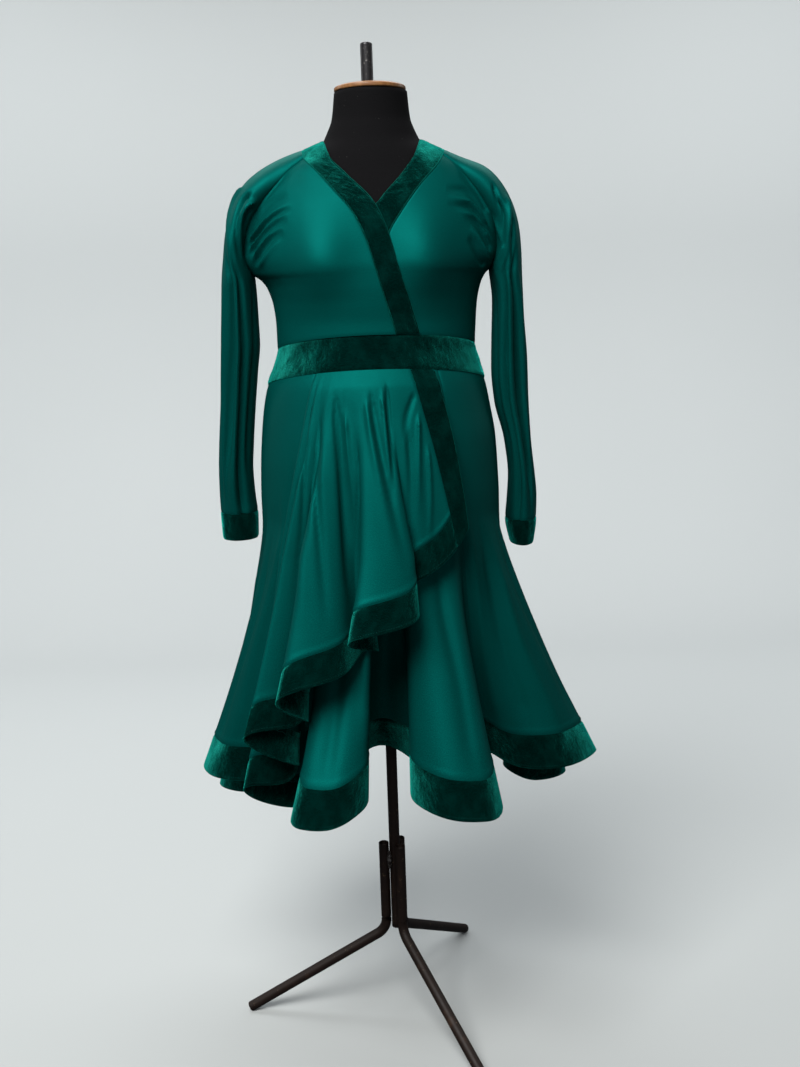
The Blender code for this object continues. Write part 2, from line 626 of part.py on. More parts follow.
def front_panel(name, side, columns):
    """One crossed front, from its side and raglan seams to its neckband."""
    z_out = np.concatenate([RAGLAN_ROWS, SIDE_ROWS])
    u_out = np.concatenate([raglan(RAGLAN_ROWS, side, -1), np.full(5, -math.pi if side < 0 else 0.0)])
    edge = NECK_EDGE[side]
    x_in, z_in = edge.at("out_x", EDGE_ROWS), edge.at("out_z", EDGE_ROWS)
    u_in = angle_at(x_in, z_in, -1)
    s = np.linspace(0, 1, columns)[:, None]
    u = u_out + (u_in - u_out) * s
    z = z_out + (z_in - z_out) * s
    fall = np.linspace(0, 1, len(z_out)) ** 4
    z = z + (waist(u[:, -1:], True) - z[:, -1:]) * fall
    rise = lap(z) * np.clip(s * 1.5, 0, 1) if side < 0 else 0.0
    off = EASE + (LAP - EASE) * rise - NIP * nip(z, body(u, z)[..., 1])
    outer, inner = body_cloth(u, z, (off + SATIN)[..., None]), body_cloth(u, z, off[..., None])
    trim((outer, inner), ("first", "low", "top"))
    rows = len(RAGLAN_ROWS)
    lay_edge(outer, inner, raglan_seam(side, -1), (0, slice(0, rows)), EASE, SATIN, HALF_SEAM)
    trim((outer[:, rows - 1:rows], inner[:, rows - 1:rows]), ("first",))
    line, runs = neck_line(side)
    seam = [part[runs["front"]][:-1][::-1] for part in line]
    rise = (EASE + (LAP - EASE) * lap(seam[0][:, 2:]) if side < 0 else EASE)
    lay_edge(outer, inner, seam, (-1, slice(None)), rise, SATIN, HALF_SEAM)
    trim((outer[-2:], inner[-2:]), ("low",))
    if side > 0:
        outer, inner = outer[::-1], inner[::-1]
    return wall(name, outer, inner, satin)


def back_panel(columns):
    """The back, from one raglan and side seam to the other."""
    z_side = np.concatenate([RAGLAN_ROWS, SIDE_ROWS])
    u_left = np.concatenate([raglan(RAGLAN_ROWS, 1, 1), np.zeros(5)])
    u_right = np.concatenate([raglan(RAGLAN_ROWS, -1, 1), np.full(5, math.pi)])
    s = np.linspace(0, 1, columns)[:, None]
    u = u_left + (u_right - u_left) * s
    z = z_side - BACK_NECK_DIP * np.sin(math.pi * s) * np.linspace(1, 0, len(z_side)) ** 2
    off = EASE - NIP * nip(z, body(u, z)[..., 1])
    outer, inner = body_cloth(u, z, (off + SATIN)[..., None]), body_cloth(u, z, off[..., None])
    trim((outer, inner), ("first", "last", "low"))
    half = columns // 2
    for side, pick in ((1, slice(0, half + 1)), (-1, slice(None, half - 1, -1))):
        line, runs = neck_line(side)
        seam = [part[runs["back"]] for part in line]
        lay_edge(outer, inner, seam, (pick, 0), EASE, SATIN, HALF_SEAM)
    rows = len(RAGLAN_ROWS)
    for column, inside, side in ((0, 1, 1), (-1, -2, -1)):
        seam = raglan_seam(side, 1)
        lay_edge(outer, inner, seam, (column, slice(0, rows)), EASE, SATIN, HALF_SEAM)
        for g in (outer, inner):
            g[column, rows - 1] += unit(g[inside, rows - 1] - g[column, rows - 1]) * HALF_SEAM
            g[column, 0] += unit(g[column, 1] - g[column, 0]) * HALF_SEAM
    return wall("bodice_back", outer, inner, satin)


HALF_SEAM = 0.00022
NIP = 0.0026
BACK_COLUMNS = 19
BACK_NECK_DIP = 0.006
front_panel("bodice_front_right", -1, 10)
front_panel("bodice_front_left", 1, 9)
back_panel(BACK_COLUMNS)


SLEEVE_LOW = [0.455, 0.51, 0.58, 0.66, 0.74, 0.82, 0.90, 1.0]
CUFF_ROWS = [1.0, 1.04, 1.08]


def sleeve(side):
    """A sleeve from the neckband and raglan seams to the cuff, open along its underarm seam."""
    t = np.concatenate([station(side, RAGLAN_ROWS), SLEEVE_LOW])
    q, t = grid(SLEEVE_COLUMNS, t)
    point = sleeve_point(side, q, t)
    n = sleeve_normal(side, q, t)
    near = nip(SLEEVE[side].at("under_z", t), point[..., 1]) * (np.abs(q - 0.5) > 0.3)
    off = (EASE - NIP * near)[..., None]
    outer, inner = point + n * (off + SATIN), point + n * off
    trim((outer, inner), ("first", "last", "low"))
    line, runs = neck_line(side)
    seam = [part[runs["sleeve"]] for part in line]
    lay_edge(outer, inner, seam, (slice(None), 0), EASE, SATIN, HALF_SEAM)
    rows = len(RAGLAN_ROWS)
    for column, inside, face in ((0, 1, -1), (-1, -2, 1)):
        seam = raglan_seam(side, face)
        lay_edge(outer, inner, seam, (column, slice(0, rows)), EASE, SATIN, -HALF_SEAM)
        for g in (outer, inner):
            g[column, rows - 1] += unit(g[inside, rows - 1] - g[column, rows - 1]) * HALF_SEAM
            g[column, 0] += unit(g[column, 1] - g[column, 0]) * HALF_SEAM
    if side > 0:
        outer, inner = outer[::-1], inner[::-1]
    return wall("sleeve_" + ("right" if side < 0 else "left"), outer[::-1], inner[::-1], satin)


def cuff(side):
    q, t = grid(np.linspace(0, 1, 18, endpoint=False), CUFF_ROWS)
    n = sleeve_normal(side, q, t)
    outer = sleeve_point(side, q, t) + n * (EASE + VELVET)
    inner = outer - n * VELVET
    trim((outer, inner), ("top",))
    if side > 0:
        outer, inner = outer[::-1], inner[::-1]
    return wall("cuff_" + ("right" if side < 0 else "left"), outer[::-1], inner[::-1], velvet, ring=True)


for side in SIDES.values():
    sleeve(side)
    cuff(side)


def neckband(side):
    """A neckband from the front over the shoulder to the middle of the back."""
    name = "right" if side < 0 else "left"
    edge = NECK_EDGE[side]
    skip = 0 if side < 0 else len(EDGE_ROWS) - LEFT_BAND_END
    line, runs = neck_line(side)
    e = np.append(EDGE_ROWS[::-1], 0.0)[skip:]
    a, na, away = [part[skip:] for part in line[:3]]
    z_in = edge.at("in_z", e)
    u_in = angle_at(edge.at("in_x", e), z_in, -1)
    front = len(e)
    turn = np.linspace(0, 1, len(a) - front + 1)[1:]
    stop = -1.5 * math.pi if side < 0 else 0.5 * math.pi
    in_u = np.concatenate([u_in, u_in[-1] + (stop - u_in[-1]) * turn])
    in_z = np.concatenate([z_in, z_in[-1] + (NECK_BACK_Z - z_in[-1]) * turn])
    b = body(in_u, in_z)
    nb = unit(body_cloth(in_u, in_z, 1.0) - b)
    s = np.linspace(0, 1, 3)[:, None, None]
    middle = a + (b - a) * s
    z_out = edge.at("out_z", e)
    mid_u = (angle_at(edge.at("out_x", e), z_out, -1) + u_in) / 2
    middle[1, :front] = body(mid_u, (z_out + z_in) / 2)
    n = unit(na + (nb - na) * s)
    off = EASE + (LAP - EASE) * lap(middle[..., 2:]) if side < 0 else EASE
    outer, inner = middle + n * (off + VELVET), middle + n * off
    for g in (outer, inner):
        g[0] -= away * HALF_SEAM
        g[:, -1] += unit(g[:, -2] - g[:, -1]) * HALF_SEAM
        if side < 0:
            g[:, 0] += unit(g[:, 1] - g[:, 0]) * HALF_SEAM * 1.5
    if side > 0:
        outer, inner = outer[::-1], inner[::-1]
    return wall("neckband_" + name, outer[:, ::-1], inner[:, ::-1], velvet)


NECK_BACK_Z = 1.600
neckband(-1)
neckband(1)


def waist_band(columns):
    """The waistband, one ring round the waist."""
    u, t = grid(np.linspace(-math.pi, math.pi, columns, endpoint=False), np.linspace(0, 1, 3))
    z = waist(u, True) + (waist(u, False) - waist(u, True)) * t
    outer, inner = body_cloth(u, z, EASE + VELVET), body_cloth(u, z, EASE)
    trim((outer, inner), ("top", "low"))
    return wall("waistband", outer, inner, velvet, ring=True)


waist_band(40)


# Skirt: four flared panels that fall in nine flutes, numbered round from the
# right front seam. The table has the plan and height of the hem at the flutes'
# valleys (whole places), shoulders and peaks, and the height where each begins.
FLUTES = 9
HEM = Table("place x y z apex", [
    (0.00, -0.104, -0.115, 0.556, 0.940),
    (0.25, -0.156, -0.296, 0.518, 0.820),
    (0.50, -0.103, -0.306, 0.518, 0.820),
    (0.72, -0.045, -0.262, 0.535, 0.840),
    (0.86, -0.068, -0.110, 0.548, 0.900),
    (1.00, -0.015, -0.040, 0.553, 0.930),
    (1.14, 0.042, -0.092, 0.540, 0.930),
    (1.30, 0.036, -0.245, 0.532, 0.920),
    (1.50, 0.098, -0.302, 0.524, 0.920),
    (1.75, 0.160, -0.293, 0.517, 0.935),
    (2.00, 0.165, -0.055, 0.545, 0.980),
    (2.25, 0.224, -0.083, 0.520, 0.980),
    (2.50, 0.305, -0.096, 0.520, 0.980),
    (2.75, 0.378, -0.022, 0.520, 0.978),
    (3.00, 0.212, 0.040, 0.470, 0.978),
    (3.25, 0.268, 0.058, 0.430, 0.970),
    (3.50, 0.338, 0.092, 0.430, 0.970),
    (3.75, 0.320, 0.150, 0.430, 0.970),
    (4.00, 0.200, 0.150, 0.450, 0.970),
    (4.25, 0.252, 0.215, 0.422, 0.970),
    (4.50, 0.215, 0.285, 0.422, 0.970),
    (4.75, 0.145, 0.300, 0.422, 0.970),
    (5.00, 0.085, 0.200, 0.445, 0.970),
    (5.25, 0.066, 0.300, 0.420, 0.970),
    (5.50, 0.000, 0.325, 0.420, 0.970),
    (5.75, -0.066, 0.300, 0.420, 0.970),
    (6.00, -0.085, 0.200, 0.445, 0.970),
    (6.25, -0.142, 0.303, 0.422, 0.970),
    (6.50, -0.212, 0.282, 0.422, 0.970),
    (6.75, -0.250, 0.212, 0.422, 0.970),
    (7.00, -0.195, 0.150, 0.450, 0.970),
    (7.25, -0.312, 0.152, 0.430, 0.970),
    (7.50, -0.334, 0.092, 0.430, 0.970),
    (7.75, -0.272, 0.056, 0.430, 0.973),
    (8.00, -0.208, 0.035, 0.500, 0.980),
    (8.25, -0.343, -0.018, 0.520, 0.980),
    (8.50, -0.322, -0.074, 0.520, 0.980),
    (8.75, -0.243, -0.103, 0.520, 0.940),
])
WAIST_AT = Table("flute turn drift", [
    (-1.00, -160.0, -4.0),
    (-0.25, -131.0, -7.0),
    (0.00, -124.0, -9.6),
    (0.25, -114.0, 0.0),
    (1.00, -90.0, 0.0),
    (2.00, -56.0, 6.0),
    (3.00, -12.0, 4.0),
    (4.00, 30.0, 0.0),
    (5.50, 90.0, 0.0),
    (7.00, 150.0, 0.0),
    (8.00, 200.0, -4.0),
    (8.75, 229.0, -7.0),
    (9.00, 236.0, -9.6),
    (9.25, 246.0, 0.0),
    (10.00, 270.0, 0.0),
])
FLARE = 1.2
SKIRT_FALL = 0.297
ROUNDING = 0.6
TOP_DROPS = [0.0, 0.030, 0.070, 0.115]


def spline(knots, values, place):
    """Smooth curve through points at knots, rounded where it turns back on itself."""
    leap = np.diff(values, axis=0)
    length = np.linalg.norm(leap[:, :3], axis=1, keepdims=True)
    way = leap / length
    tangent = np.concatenate([way[:1], np.zeros_like(values[1:-1]), way[-1:]])
    tangent[1:-1] = (way[:-1] * length[1:] + way[1:] * length[:-1]) / (length[1:] + length[:-1])
    tangent /= np.maximum(np.linalg.norm(tangent[:, :3], axis=1, keepdims=True), 0.05) ** ROUNDING
    row = np.clip(np.searchsorted(knots, place, side="right") - 1, 0, len(knots) - 2)
    t = ((place - knots[row]) / (knots[row + 1] - knots[row]))[..., None]
    reach = length[row]
    return (values[row] * (1 + 2 * t) * (1 - t) ** 2 + tangent[row] * reach * t * (1 - t) ** 2
            + values[row + 1] * t * t * (3 - 2 * t) + tangent[row + 1] * reach * t * t * (t - 1))


def hem_curve():
    """Knots and points (x, y, z, apex) of the hem, once round with both ends lapped."""
    knots, values = HEM.rows[:, 0], HEM.rows[:, 1:]
    lapped = np.concatenate([knots[-4:] - FLUTES, knots, knots[:5] + FLUTES])
    return lapped, np.concatenate([values[-4:], values, values[:5]])


HEM_KNOTS, HEM_VALUES = hem_curve()


def skirt_point(s, t):
    """Point of the skirt: s counts flutes round it, t runs from the waist seam to the hem."""
    s, t = np.broadcast_arrays(np.asarray(s, float), np.asarray(t, float))
    hem = spline(HEM_KNOTS, HEM_VALUES, s)
    turn, drift = np.radians(WAIST_AT.at("turn", s)), np.radians(WAIST_AT.at("drift", s))
    top = waist(turn, False)
    z = top + (hem[..., 2] - top) * t
    u = turn + drift * np.clip((top - z) / SKIRT_FALL, 0, 1)
    on_body = body(u, z)
    below = body(turn + drift, hem[..., 2])
    apex = hem[..., 3]
    out = np.clip((apex - z) / (apex - hem[..., 2]), 0, 1.2) ** FLARE
    point = on_body + out[..., None] * (hem[..., :3] - below)
    point[..., 2] = z
    return point


def cloth_grid(surface, s, t, off, thick, way=1, beyond=0.0):
    """Outer and inner grid of cloth on surface(s, t), which runs right (way 1) or left and down.

    Near the waist the cloth lies off the surface, further down the surface is its
    middle. Corners between the columns are mitred, with those beyond both ends.
    """
    s = np.concatenate([[s[0] - beyond], s, [s[-1] + beyond]])
    t = np.concatenate([t[:1], t, t[-1:]])
    point = surface(s[:, None] + 0 * t, t)
    e = 2e-4
    column = s[:, None] + 0 * t
    down = surface(column, np.clip(t + e, 0, 1)) - surface(column, np.clip(t - e, 0, 1))
    chord = np.diff(point, axis=0)
    if not beyond:
        chord[0], chord[-1] = chord[1], chord[-2]
    point, down, t = point[1:-1], down[1:-1], t[1:-1]
    before, after = unit(np.cross(down, chord[:-1])), unit(np.cross(down, chord[1:]))
    n = unit(before + after)
    n = n * way / np.clip(np.sum(n * before, axis=-1, keepdims=True), 0.5, 1)
    loose = np.clip(t * 2 - 0.8, 0, 1)
    off = (off - (thick / 2 + off) * loose)[..., None]
    return point + n * (off + thick), point + n * off


def band_start(surface, s, wide):
    """Place t on each line down the surface where its last part, wide long, begins."""
    t = np.linspace(0.4, 1, 121)
    line = surface(s[:, None], t[None, :])
    step = np.linalg.norm(np.diff(line, axis=1), axis=-1)
    left = np.concatenate([np.cumsum(step[:, ::-1], axis=1)[:, ::-1], np.zeros((len(s), 1))], axis=1)
    return np.array([np.interp(-wide, -row, t) for row in left])


def part_band(surface, s, wide, panel, band, way=1, beyond=1e-4):
    """Draws a panel's lower edge and its band's upper edge apart, square to their seam."""
    s = np.concatenate([[s[0] - beyond], s, [s[-1] + beyond]])
    line = surface(s, band_start(surface, s, wide))
    along = unit(line[2:] - line[1:-1]) + unit(line[1:-1] - line[:-2])
    for grids, row, side in ((panel, -1, -1), (band, 0, 1)):
        across = unit(np.cross(along, grids[0][:, row] - grids[1][:, row])) * side * way
        for g in grids:
            g[:, row] += across * SEAM * 1.3


FLUTE_STEPS = np.array([0, 0.12, 0.20, 0.28, 0.38, 0.50, 0.62, 0.72, 0.80, 0.88])
PANEL_ROWS = 11
PANELS = {"front": (0, 2), "left": (2, 4), "back": (4, 7), "right": (7, 9)}


def rows_down(surface, s, start, count):
    """Places t of the rows: close below the waist, then even down to the band."""
    tall = surface(s, 0.0 * s)[:, 2] - surface(s, 0.0 * s + 1)[:, 2]
    near = np.array(TOP_DROPS) / tall[:, None]
    share = np.linspace(0, 1, count - len(TOP_DROPS) + 1)[1:]
    rest = near[:, -1:] + (start[:, None] - near[:, -1:]) * share
    return np.concatenate([near, rest], axis=1)


def skirt_panel(name, first, last):
    """A panel of the skirt and the velvet band that ends it."""
    s = np.concatenate([FLUTE_STEPS + k for k in range(first, last)] + [[last]])
    start = band_start(skirt_point, s, SKIRT_BAND)
    t = rows_down(skirt_point, s, start, PANEL_ROWS)
    panel = cloth_grid(skirt_point, s, t, EASE, SATIN, 1, FLUTE_STEPS[1])
    t = start[:, None] + (1 - start[:, None]) * np.array([0, 0.5, 1.0])
    band = cloth_grid(skirt_point, s, t, EASE, VELVET, 1, FLUTE_STEPS[1])
    part_band(skirt_point, s, SKIRT_BAND, panel, band, 1, FLUTE_STEPS[1])
    trim(panel, ("first", "last"))
    trim(panel, ("top",), SEAM * 2)
    trim(band, ("first", "last"))
    wall("skirt_" + name, *panel, satin)
    wall("hem_" + name, *band, velvet)


for panel_name, (first, last) in PANELS.items():
    skirt_panel(panel_name, first, last)


# Overskirt: a wrap piece whose hem climbs across the front in folds. Each fold
# has four points of its hem: its right end, left tip, the turn of its return
# and the back of the valley behind it, and where its right end's line leaves
# the waist and passes the hip. The first row is the wing beside the edge band.
FOLDS = Table("fold right_x right_y right_z tip_x tip_y tip_z turn_x turn_y turn_z back_x back_y back_z "
              "waist_x hip_x", [
    (0, 0.122, -0.171, 0.945, 0.087, -0.183, 0.913, 0.052, -0.196, 0.896, 0.030, -0.190, 0.880, 0.054, 0.118),
    (1, 0.050, -0.238, 0.848, -0.060, -0.266, 0.811, -0.012, -0.222, 0.788, -0.036, -0.190, 0.780, -0.004, 0.036),
    (2, -0.074, -0.246, 0.757, -0.179, -0.270, 0.720, -0.132, -0.226, 0.672, -0.142, -0.196, 0.666, -0.064, -0.078),
    (3, -0.160, -0.220, 0.664, -0.234, -0.250, 0.660, -0.154, -0.194, 0.582, -0.158, -0.168, 0.574, -0.088, -0.118),
    (4, -0.172, -0.185, 0.556, -0.246, -0.200, 0.550, -0.166, -0.158, 0.490, -0.142, -0.146, 0.488, -0.097, -0.136),
])
TIP = (0.144, -0.162, 0.973)
OVER_TOP_OUT, OVER_TOP_SEAM = 0.092, -0.104
OVER_LOW_OUT, OVER_LOW_SEAM = 0.144, -0.152
OVER_OFF, OVER_RISE = 0.0028, 0.0014
OVER_FLARE = 1.6


def fold_curve():
    """Knots, by the hem's length, and points of the overskirt's hem from its tip on."""
    points = [TIP]
    for row in FOLDS.rows:
        points += [tuple(row[i:i + 3]) for i in (1, 4, 7, 10)]
    points = np.array(points)
    knots = np.concatenate([[0], np.cumsum(np.linalg.norm(np.diff(points, axis=0), axis=1) ** 0.6)])
    return knots - knots[1], points


FOLD_KNOTS, FOLD_POINTS = fold_curve()
LINES = Table("place waist hip", np.column_stack([
    FOLD_KNOTS[[0, 1, 5, 9, 13, 17, 20]],
    [OVER_TOP_OUT, *FOLDS.rows[:, 13], OVER_TOP_SEAM],
    [OVER_LOW_OUT, *FOLDS.rows[:, 14], OVER_LOW_SEAM],
]))


def over_point(s, t):
    """Point of the overskirt: s runs along its hem from the satin's edge, t down from the waist."""
    s, t = np.broadcast_arrays(np.asarray(s, float), np.asarray(t, float))
    hem = spline(FOLD_KNOTS, FOLD_POINTS, s)
    x_top, x_low = LINES.at("waist", s), LINES.at("hip", s)
    u_top = angle_at(x_top, 1.22, -1)
    u_low = angle_at(x_low, 0.95, -1)
    top = waist(u_top, False)
    z = top + (hem[..., 2] - top) * t
    down = np.clip((top - z) / SKIRT_FALL, 0, 1)
    u = u_top + (u_low - u_top) * down
    below = body_cloth(u_low, hem[..., 2], OVER_OFF + OVER_RISE)
    off = (OVER_OFF + OVER_RISE * down)[..., None]
    point = body_cloth(u, z, off) + (t ** OVER_FLARE)[..., None] * (hem - below)
    point[..., 2] = z
    return point


def overskirt(columns):
    """The satin of the overskirt, its edge band and its hem band."""
    s = np.interp(np.linspace(0, len(FOLD_KNOTS) - 2, columns), np.arange(len(FOLD_KNOTS) - 1), FOLD_KNOTS[1:])
    start = band_start(over_point, s, OVERSKIRT_BAND)
    t = rows_down(over_point, s, start, OVER_ROWS)
    panel = cloth_grid(over_point, s, t, 0, SATIN, -1)
    t = start[:, None] + (1 - start[:, None]) * np.array([0, 0.5, 1.0])
    band = cloth_grid(over_point, s, t, 0, VELVET, -1)
    part_band(over_point, s, OVERSKIRT_BAND, panel, band, -1)
    for grids in (panel, band):
        trim(grids, ("first",))
    trim(panel, ("top",), SEAM * 2)
    wall("overskirt", panel[0][::-1], panel[1][::-1], satin)
    wall("overskirt_hem", band[0][::-1], band[1][::-1], velvet)
    s = np.linspace(FOLD_KNOTS[0], 0, 4)
    t = rows_down(over_point, s, start[0] + 0 * s, OVER_ROWS)
    end = np.ones((len(s), 2)) * [(1 + start[0]) / 2, 1.0]
    t = np.concatenate([t, end], axis=1)
    outer, inner = cloth_grid(over_point, s, t, 0, VELVET, -1)
    outer, inner = outer[::-1], inner[::-1]
    trim((outer, inner), ("first",))
    trim((outer, inner), ("top",), SEAM * 2)
    wall("overskirt_edge", outer, inner, velvet)


OVER_ROWS = 10
overskirt(58)
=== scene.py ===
"""Looks of a ball gown on its dress form and tripod stand.

Metres, +Z up, the front faces -Y. Right and left are the wearer's, so the
right side is on the left of the picture.
"""
import math

import bpy
import numpy as np
from mathutils import Matrix, Vector


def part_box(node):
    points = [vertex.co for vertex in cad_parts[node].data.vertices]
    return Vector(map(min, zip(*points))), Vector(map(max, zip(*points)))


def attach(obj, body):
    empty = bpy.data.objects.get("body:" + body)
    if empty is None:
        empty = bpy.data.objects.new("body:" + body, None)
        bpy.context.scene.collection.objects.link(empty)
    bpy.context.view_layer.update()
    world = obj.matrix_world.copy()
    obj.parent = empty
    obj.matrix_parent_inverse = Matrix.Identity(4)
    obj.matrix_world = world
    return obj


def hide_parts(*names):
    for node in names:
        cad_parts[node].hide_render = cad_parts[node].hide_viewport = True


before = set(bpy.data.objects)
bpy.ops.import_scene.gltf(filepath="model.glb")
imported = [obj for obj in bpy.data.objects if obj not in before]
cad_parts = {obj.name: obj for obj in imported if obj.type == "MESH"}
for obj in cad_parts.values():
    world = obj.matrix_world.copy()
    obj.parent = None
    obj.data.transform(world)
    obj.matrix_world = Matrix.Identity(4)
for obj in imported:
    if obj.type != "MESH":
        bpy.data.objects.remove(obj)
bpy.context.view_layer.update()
pole_low, pole_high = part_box("pole")
AXIS = np.array([(pole_low.x + pole_high.x) / 2, (pole_low.y + pole_high.y) / 2, 0.0])


# Stand: a round steel pole and three bent tube legs that are welded to it, all
# under old dark brown paint that has rubbed off along the edges and at the welds.
class Wire:
    """A shader socket that grows Math nodes when it is used in a sum."""

    def __init__(self, tree, socket=None):
        self.tree = tree
        self.socket = socket

    def add(self, kind, settings, values, out=0):
        """Any other node: its settings first, then the values or links of its sockets."""
        node = self.tree.nodes.new(kind)
        for key, value in settings.items():
            setattr(node, key, value)
        for key, value in values.items():
            if isinstance(value, Wire):
                self.tree.links.new(value.socket, node.inputs[key])
            else:
                node.inputs[key].default_value = value
        return Wire(self.tree, node.outputs[out])

    def sum(self, operation, a, b):
        return self.add("ShaderNodeMath", {"operation": operation}, {0: a, 1: b})

    def __add__(self, other):
        return self.sum("ADD", self, other)

    def __radd__(self, other):
        return self.sum("ADD", other, self)

    def __sub__(self, other):
        return self.sum("SUBTRACT", self, other)

    def __rsub__(self, other):
        return self.sum("SUBTRACT", other, self)

    def __mul__(self, other):
        return self.sum("MULTIPLY", self, other)

    def __rmul__(self, other):
        return self.sum("MULTIPLY", other, self)

    def noise(self, scale, detail=2.0, rough=0.5, stretch=None):
        """Noise from 0 to 1 at this place, with scale in repeats to a metre."""
        place = self
        if stretch:
            place = self.add("ShaderNodeMapping", {}, {"Vector": self, "Scale": stretch})
        return self.add("ShaderNodeTexNoise", {}, {"Vector": place, "Scale": scale, "Detail": detail,
                                                   "Roughness": rough})

    def bands(self, axis, scale, bend, detail, detail_scale):
        """Bands across an axis at this place, bent by noise."""
        return self.add("ShaderNodeTexWave", {"wave_type": "BANDS", "bands_direction": axis},
                        {"Vector": self, "Scale": scale, "Distortion": bend, "Detail": detail,
                         "Detail Scale": detail_scale})

    def between(self, low, high):
        """This value stretched so that low becomes 0 and high becomes 1, smoothly."""
        return self.add("ShaderNodeMapRange", {"interpolation_type": "SMOOTHSTEP"},
                        {"Value": self, "From Min": low, "From Max": high})

    def mix(self, a, b):
        """Colour a where this value is 0 and colour b where it is 1."""
        return self.add("ShaderNodeMix", {"data_type": "RGBA"}, {0: self, 6: a, 7: b}, 2)

    def bump(self, distance, strength=1.0, normal=None):
        """Normals of a relief that is distance deep where this value goes from 0 to 1."""
        values = {"Height": self, "Distance": distance, "Strength": strength}
        if normal:
            values["Normal"] = normal
        return self.add("ShaderNodeBump", {}, values)


def finish(name, place="Object", **sockets):
    """A new material with plain values on its shader: the material, its shader and a place wire."""
    material = bpy.data.materials.new(name)
    material.use_nodes = True
    shader = material.node_tree.nodes["Principled BSDF"]
    for key, value in sockets.items():
        shader.inputs[key.replace("_", " ")].default_value = value
    wire = Wire(material.node_tree)
    return material, shader, wire.add("ShaderNodeTexCoord", {}, {}, place)


def feed(shader, **wires):
    """Links wires to a shader's sockets."""
    for key, wire in wires.items():
        wire.tree.links.new(wire.socket, shader.inputs[key.replace("_", " ")])


def paint_steel():
    material, shader, place = finish("worn_brown_paint", Specular_IOR_Level=0.4)
    blotch = place.noise(55.0, 5.0, 0.6)
    fine = place.noise(420.0, 3.0, 0.6)
    chip = (place.noise(95.0, 6.0, 0.75) * 0.75 + fine * 0.25).between(0.60, 0.645)
    rub = place.noise(30.0, 4.0, 0.7, (1.0, 1.0, 0.25)).between(0.58, 0.75)
    brown = blotch.mix((0.0065, 0.0036, 0.0025, 1), (0.021, 0.0090, 0.0048, 1))
    worn = rub.mix(brown, (0.042, 0.021, 0.011, 1))
    feed(shader, Base_Color=chip.mix(worn, (0.24, 0.17, 0.10, 1)), Metallic=chip * 0.5,
         Roughness=0.40 + blotch * 0.24 + fine * 0.10,
         Normal=(fine * 0.35 + blotch * 0.65 - chip * 0.5).bump(0.0004, 0.8))
    return material


steel = paint_steel()
LEG_RADIUS, LEG_BORE, POLE_RADIUS = 0.0095, 0.0078, 0.010
LEG_OFFSET, LEG_TOP, LEG_BEND = 0.0203, 0.340, 0.035
LEG_SPLAY = math.radians(30.0)
FOOT_REACH, FOOT_CUT = 0.290, 0.0018
LEG_TURNS = {"leg_right": 180.0, "leg_front": 300.0, "leg_back": 60.0}


def linked(name, data):
    """A new object of some data, put into the scene."""
    thing = bpy.data.objects.new(name, data)
    bpy.context.scene.collection.objects.link(thing)
    return thing


def surface(name, point, material, ring=False, uv=None, poles=(), outward=None):
    """A mesh through a grid of points, columns by rows, with its faces turned outward.

    A ring joins its last column to its first, and poles closes its first row
    (0) or last row (-1) with a point in the middle.
    """
    cols, rows = point.shape[:2]
    verts = [tuple(p) for p in point.reshape(-1, 3)]
    faces = []
    turns = cols if ring else cols - 1
    for i in range(turns):
        k = (i + 1) % cols * rows
        for j in range(rows - 1):
            faces.append((i * rows + j, i * rows + j + 1, k + j + 1, k + j))
    for end in poles:
        j = 0 if end == 0 else rows - 1
        verts.append(tuple(point[:, j].mean(axis=0)))
        for i in range(turns):
            a, b = i * rows + j, (i + 1) % cols * rows + j
            faces.append((a, b, len(verts) - 1) if end == 0 else (b, a, len(verts) - 1))
    i, j = cols // 4, rows // 2
    if outward is None:
        outward = point[i, j] - point.reshape(-1, 3).mean(axis=0)
    facing = np.cross(point[i, j + 1] - point[i, j], point[i + 1, j] - point[i, j])
    if np.dot(facing, outward) < 0:
        faces = [f[::-1] for f in faces]
    mesh = bpy.data.meshes.new(name)
    mesh.from_pydata(verts, [], faces)
    if uv is not None:
        layer = mesh.uv_layers.new(name="cut")
        corner = np.zeros(len(mesh.loops), int)
        mesh.loops.foreach_get("vertex_index", corner)
        layer.data.foreach_set("uv", uv.reshape(-1, 2)[corner].astype(np.float32).ravel())
    mesh.shade_smooth()
    mesh.materials.append(material)
    return linked(name, mesh)


def place_piece(piece, node=None):
    """Puts a finished piece on the body in place of its solid."""
    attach(piece, "root")
    if node:
        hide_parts(node)


def swept(path, rings, sides):
    """Grid of a round bar: rings lists (place on the path, radius) in order along its skin."""
    grid = np.zeros((sides, len(rings), 3))
    a = np.linspace(0, 2 * math.pi, sides, endpoint=False)
    for j, (k, radius) in enumerate(rings):
        ahead = path[min(k + 1, len(path) - 1)] - path[max(k - 1, 0)]
        ahead /= np.linalg.norm(ahead)
        side = np.array([-ahead[1], ahead[0], 0.0])
        side = side / np.linalg.norm(side) if np.linalg.norm(side) > 1e-6 else np.array([0.0, 1.0, 0.0])
        circle = np.cos(a)[:, None] * side + np.sin(a)[:, None] * np.cross(ahead, side)
        grid[:, j] = path[k] + radius * circle
    return grid


def heading(turn):
    """Cosine and sine of a turn in degrees."""
    return math.cos(math.radians(turn)), math.sin(math.radians(turn))


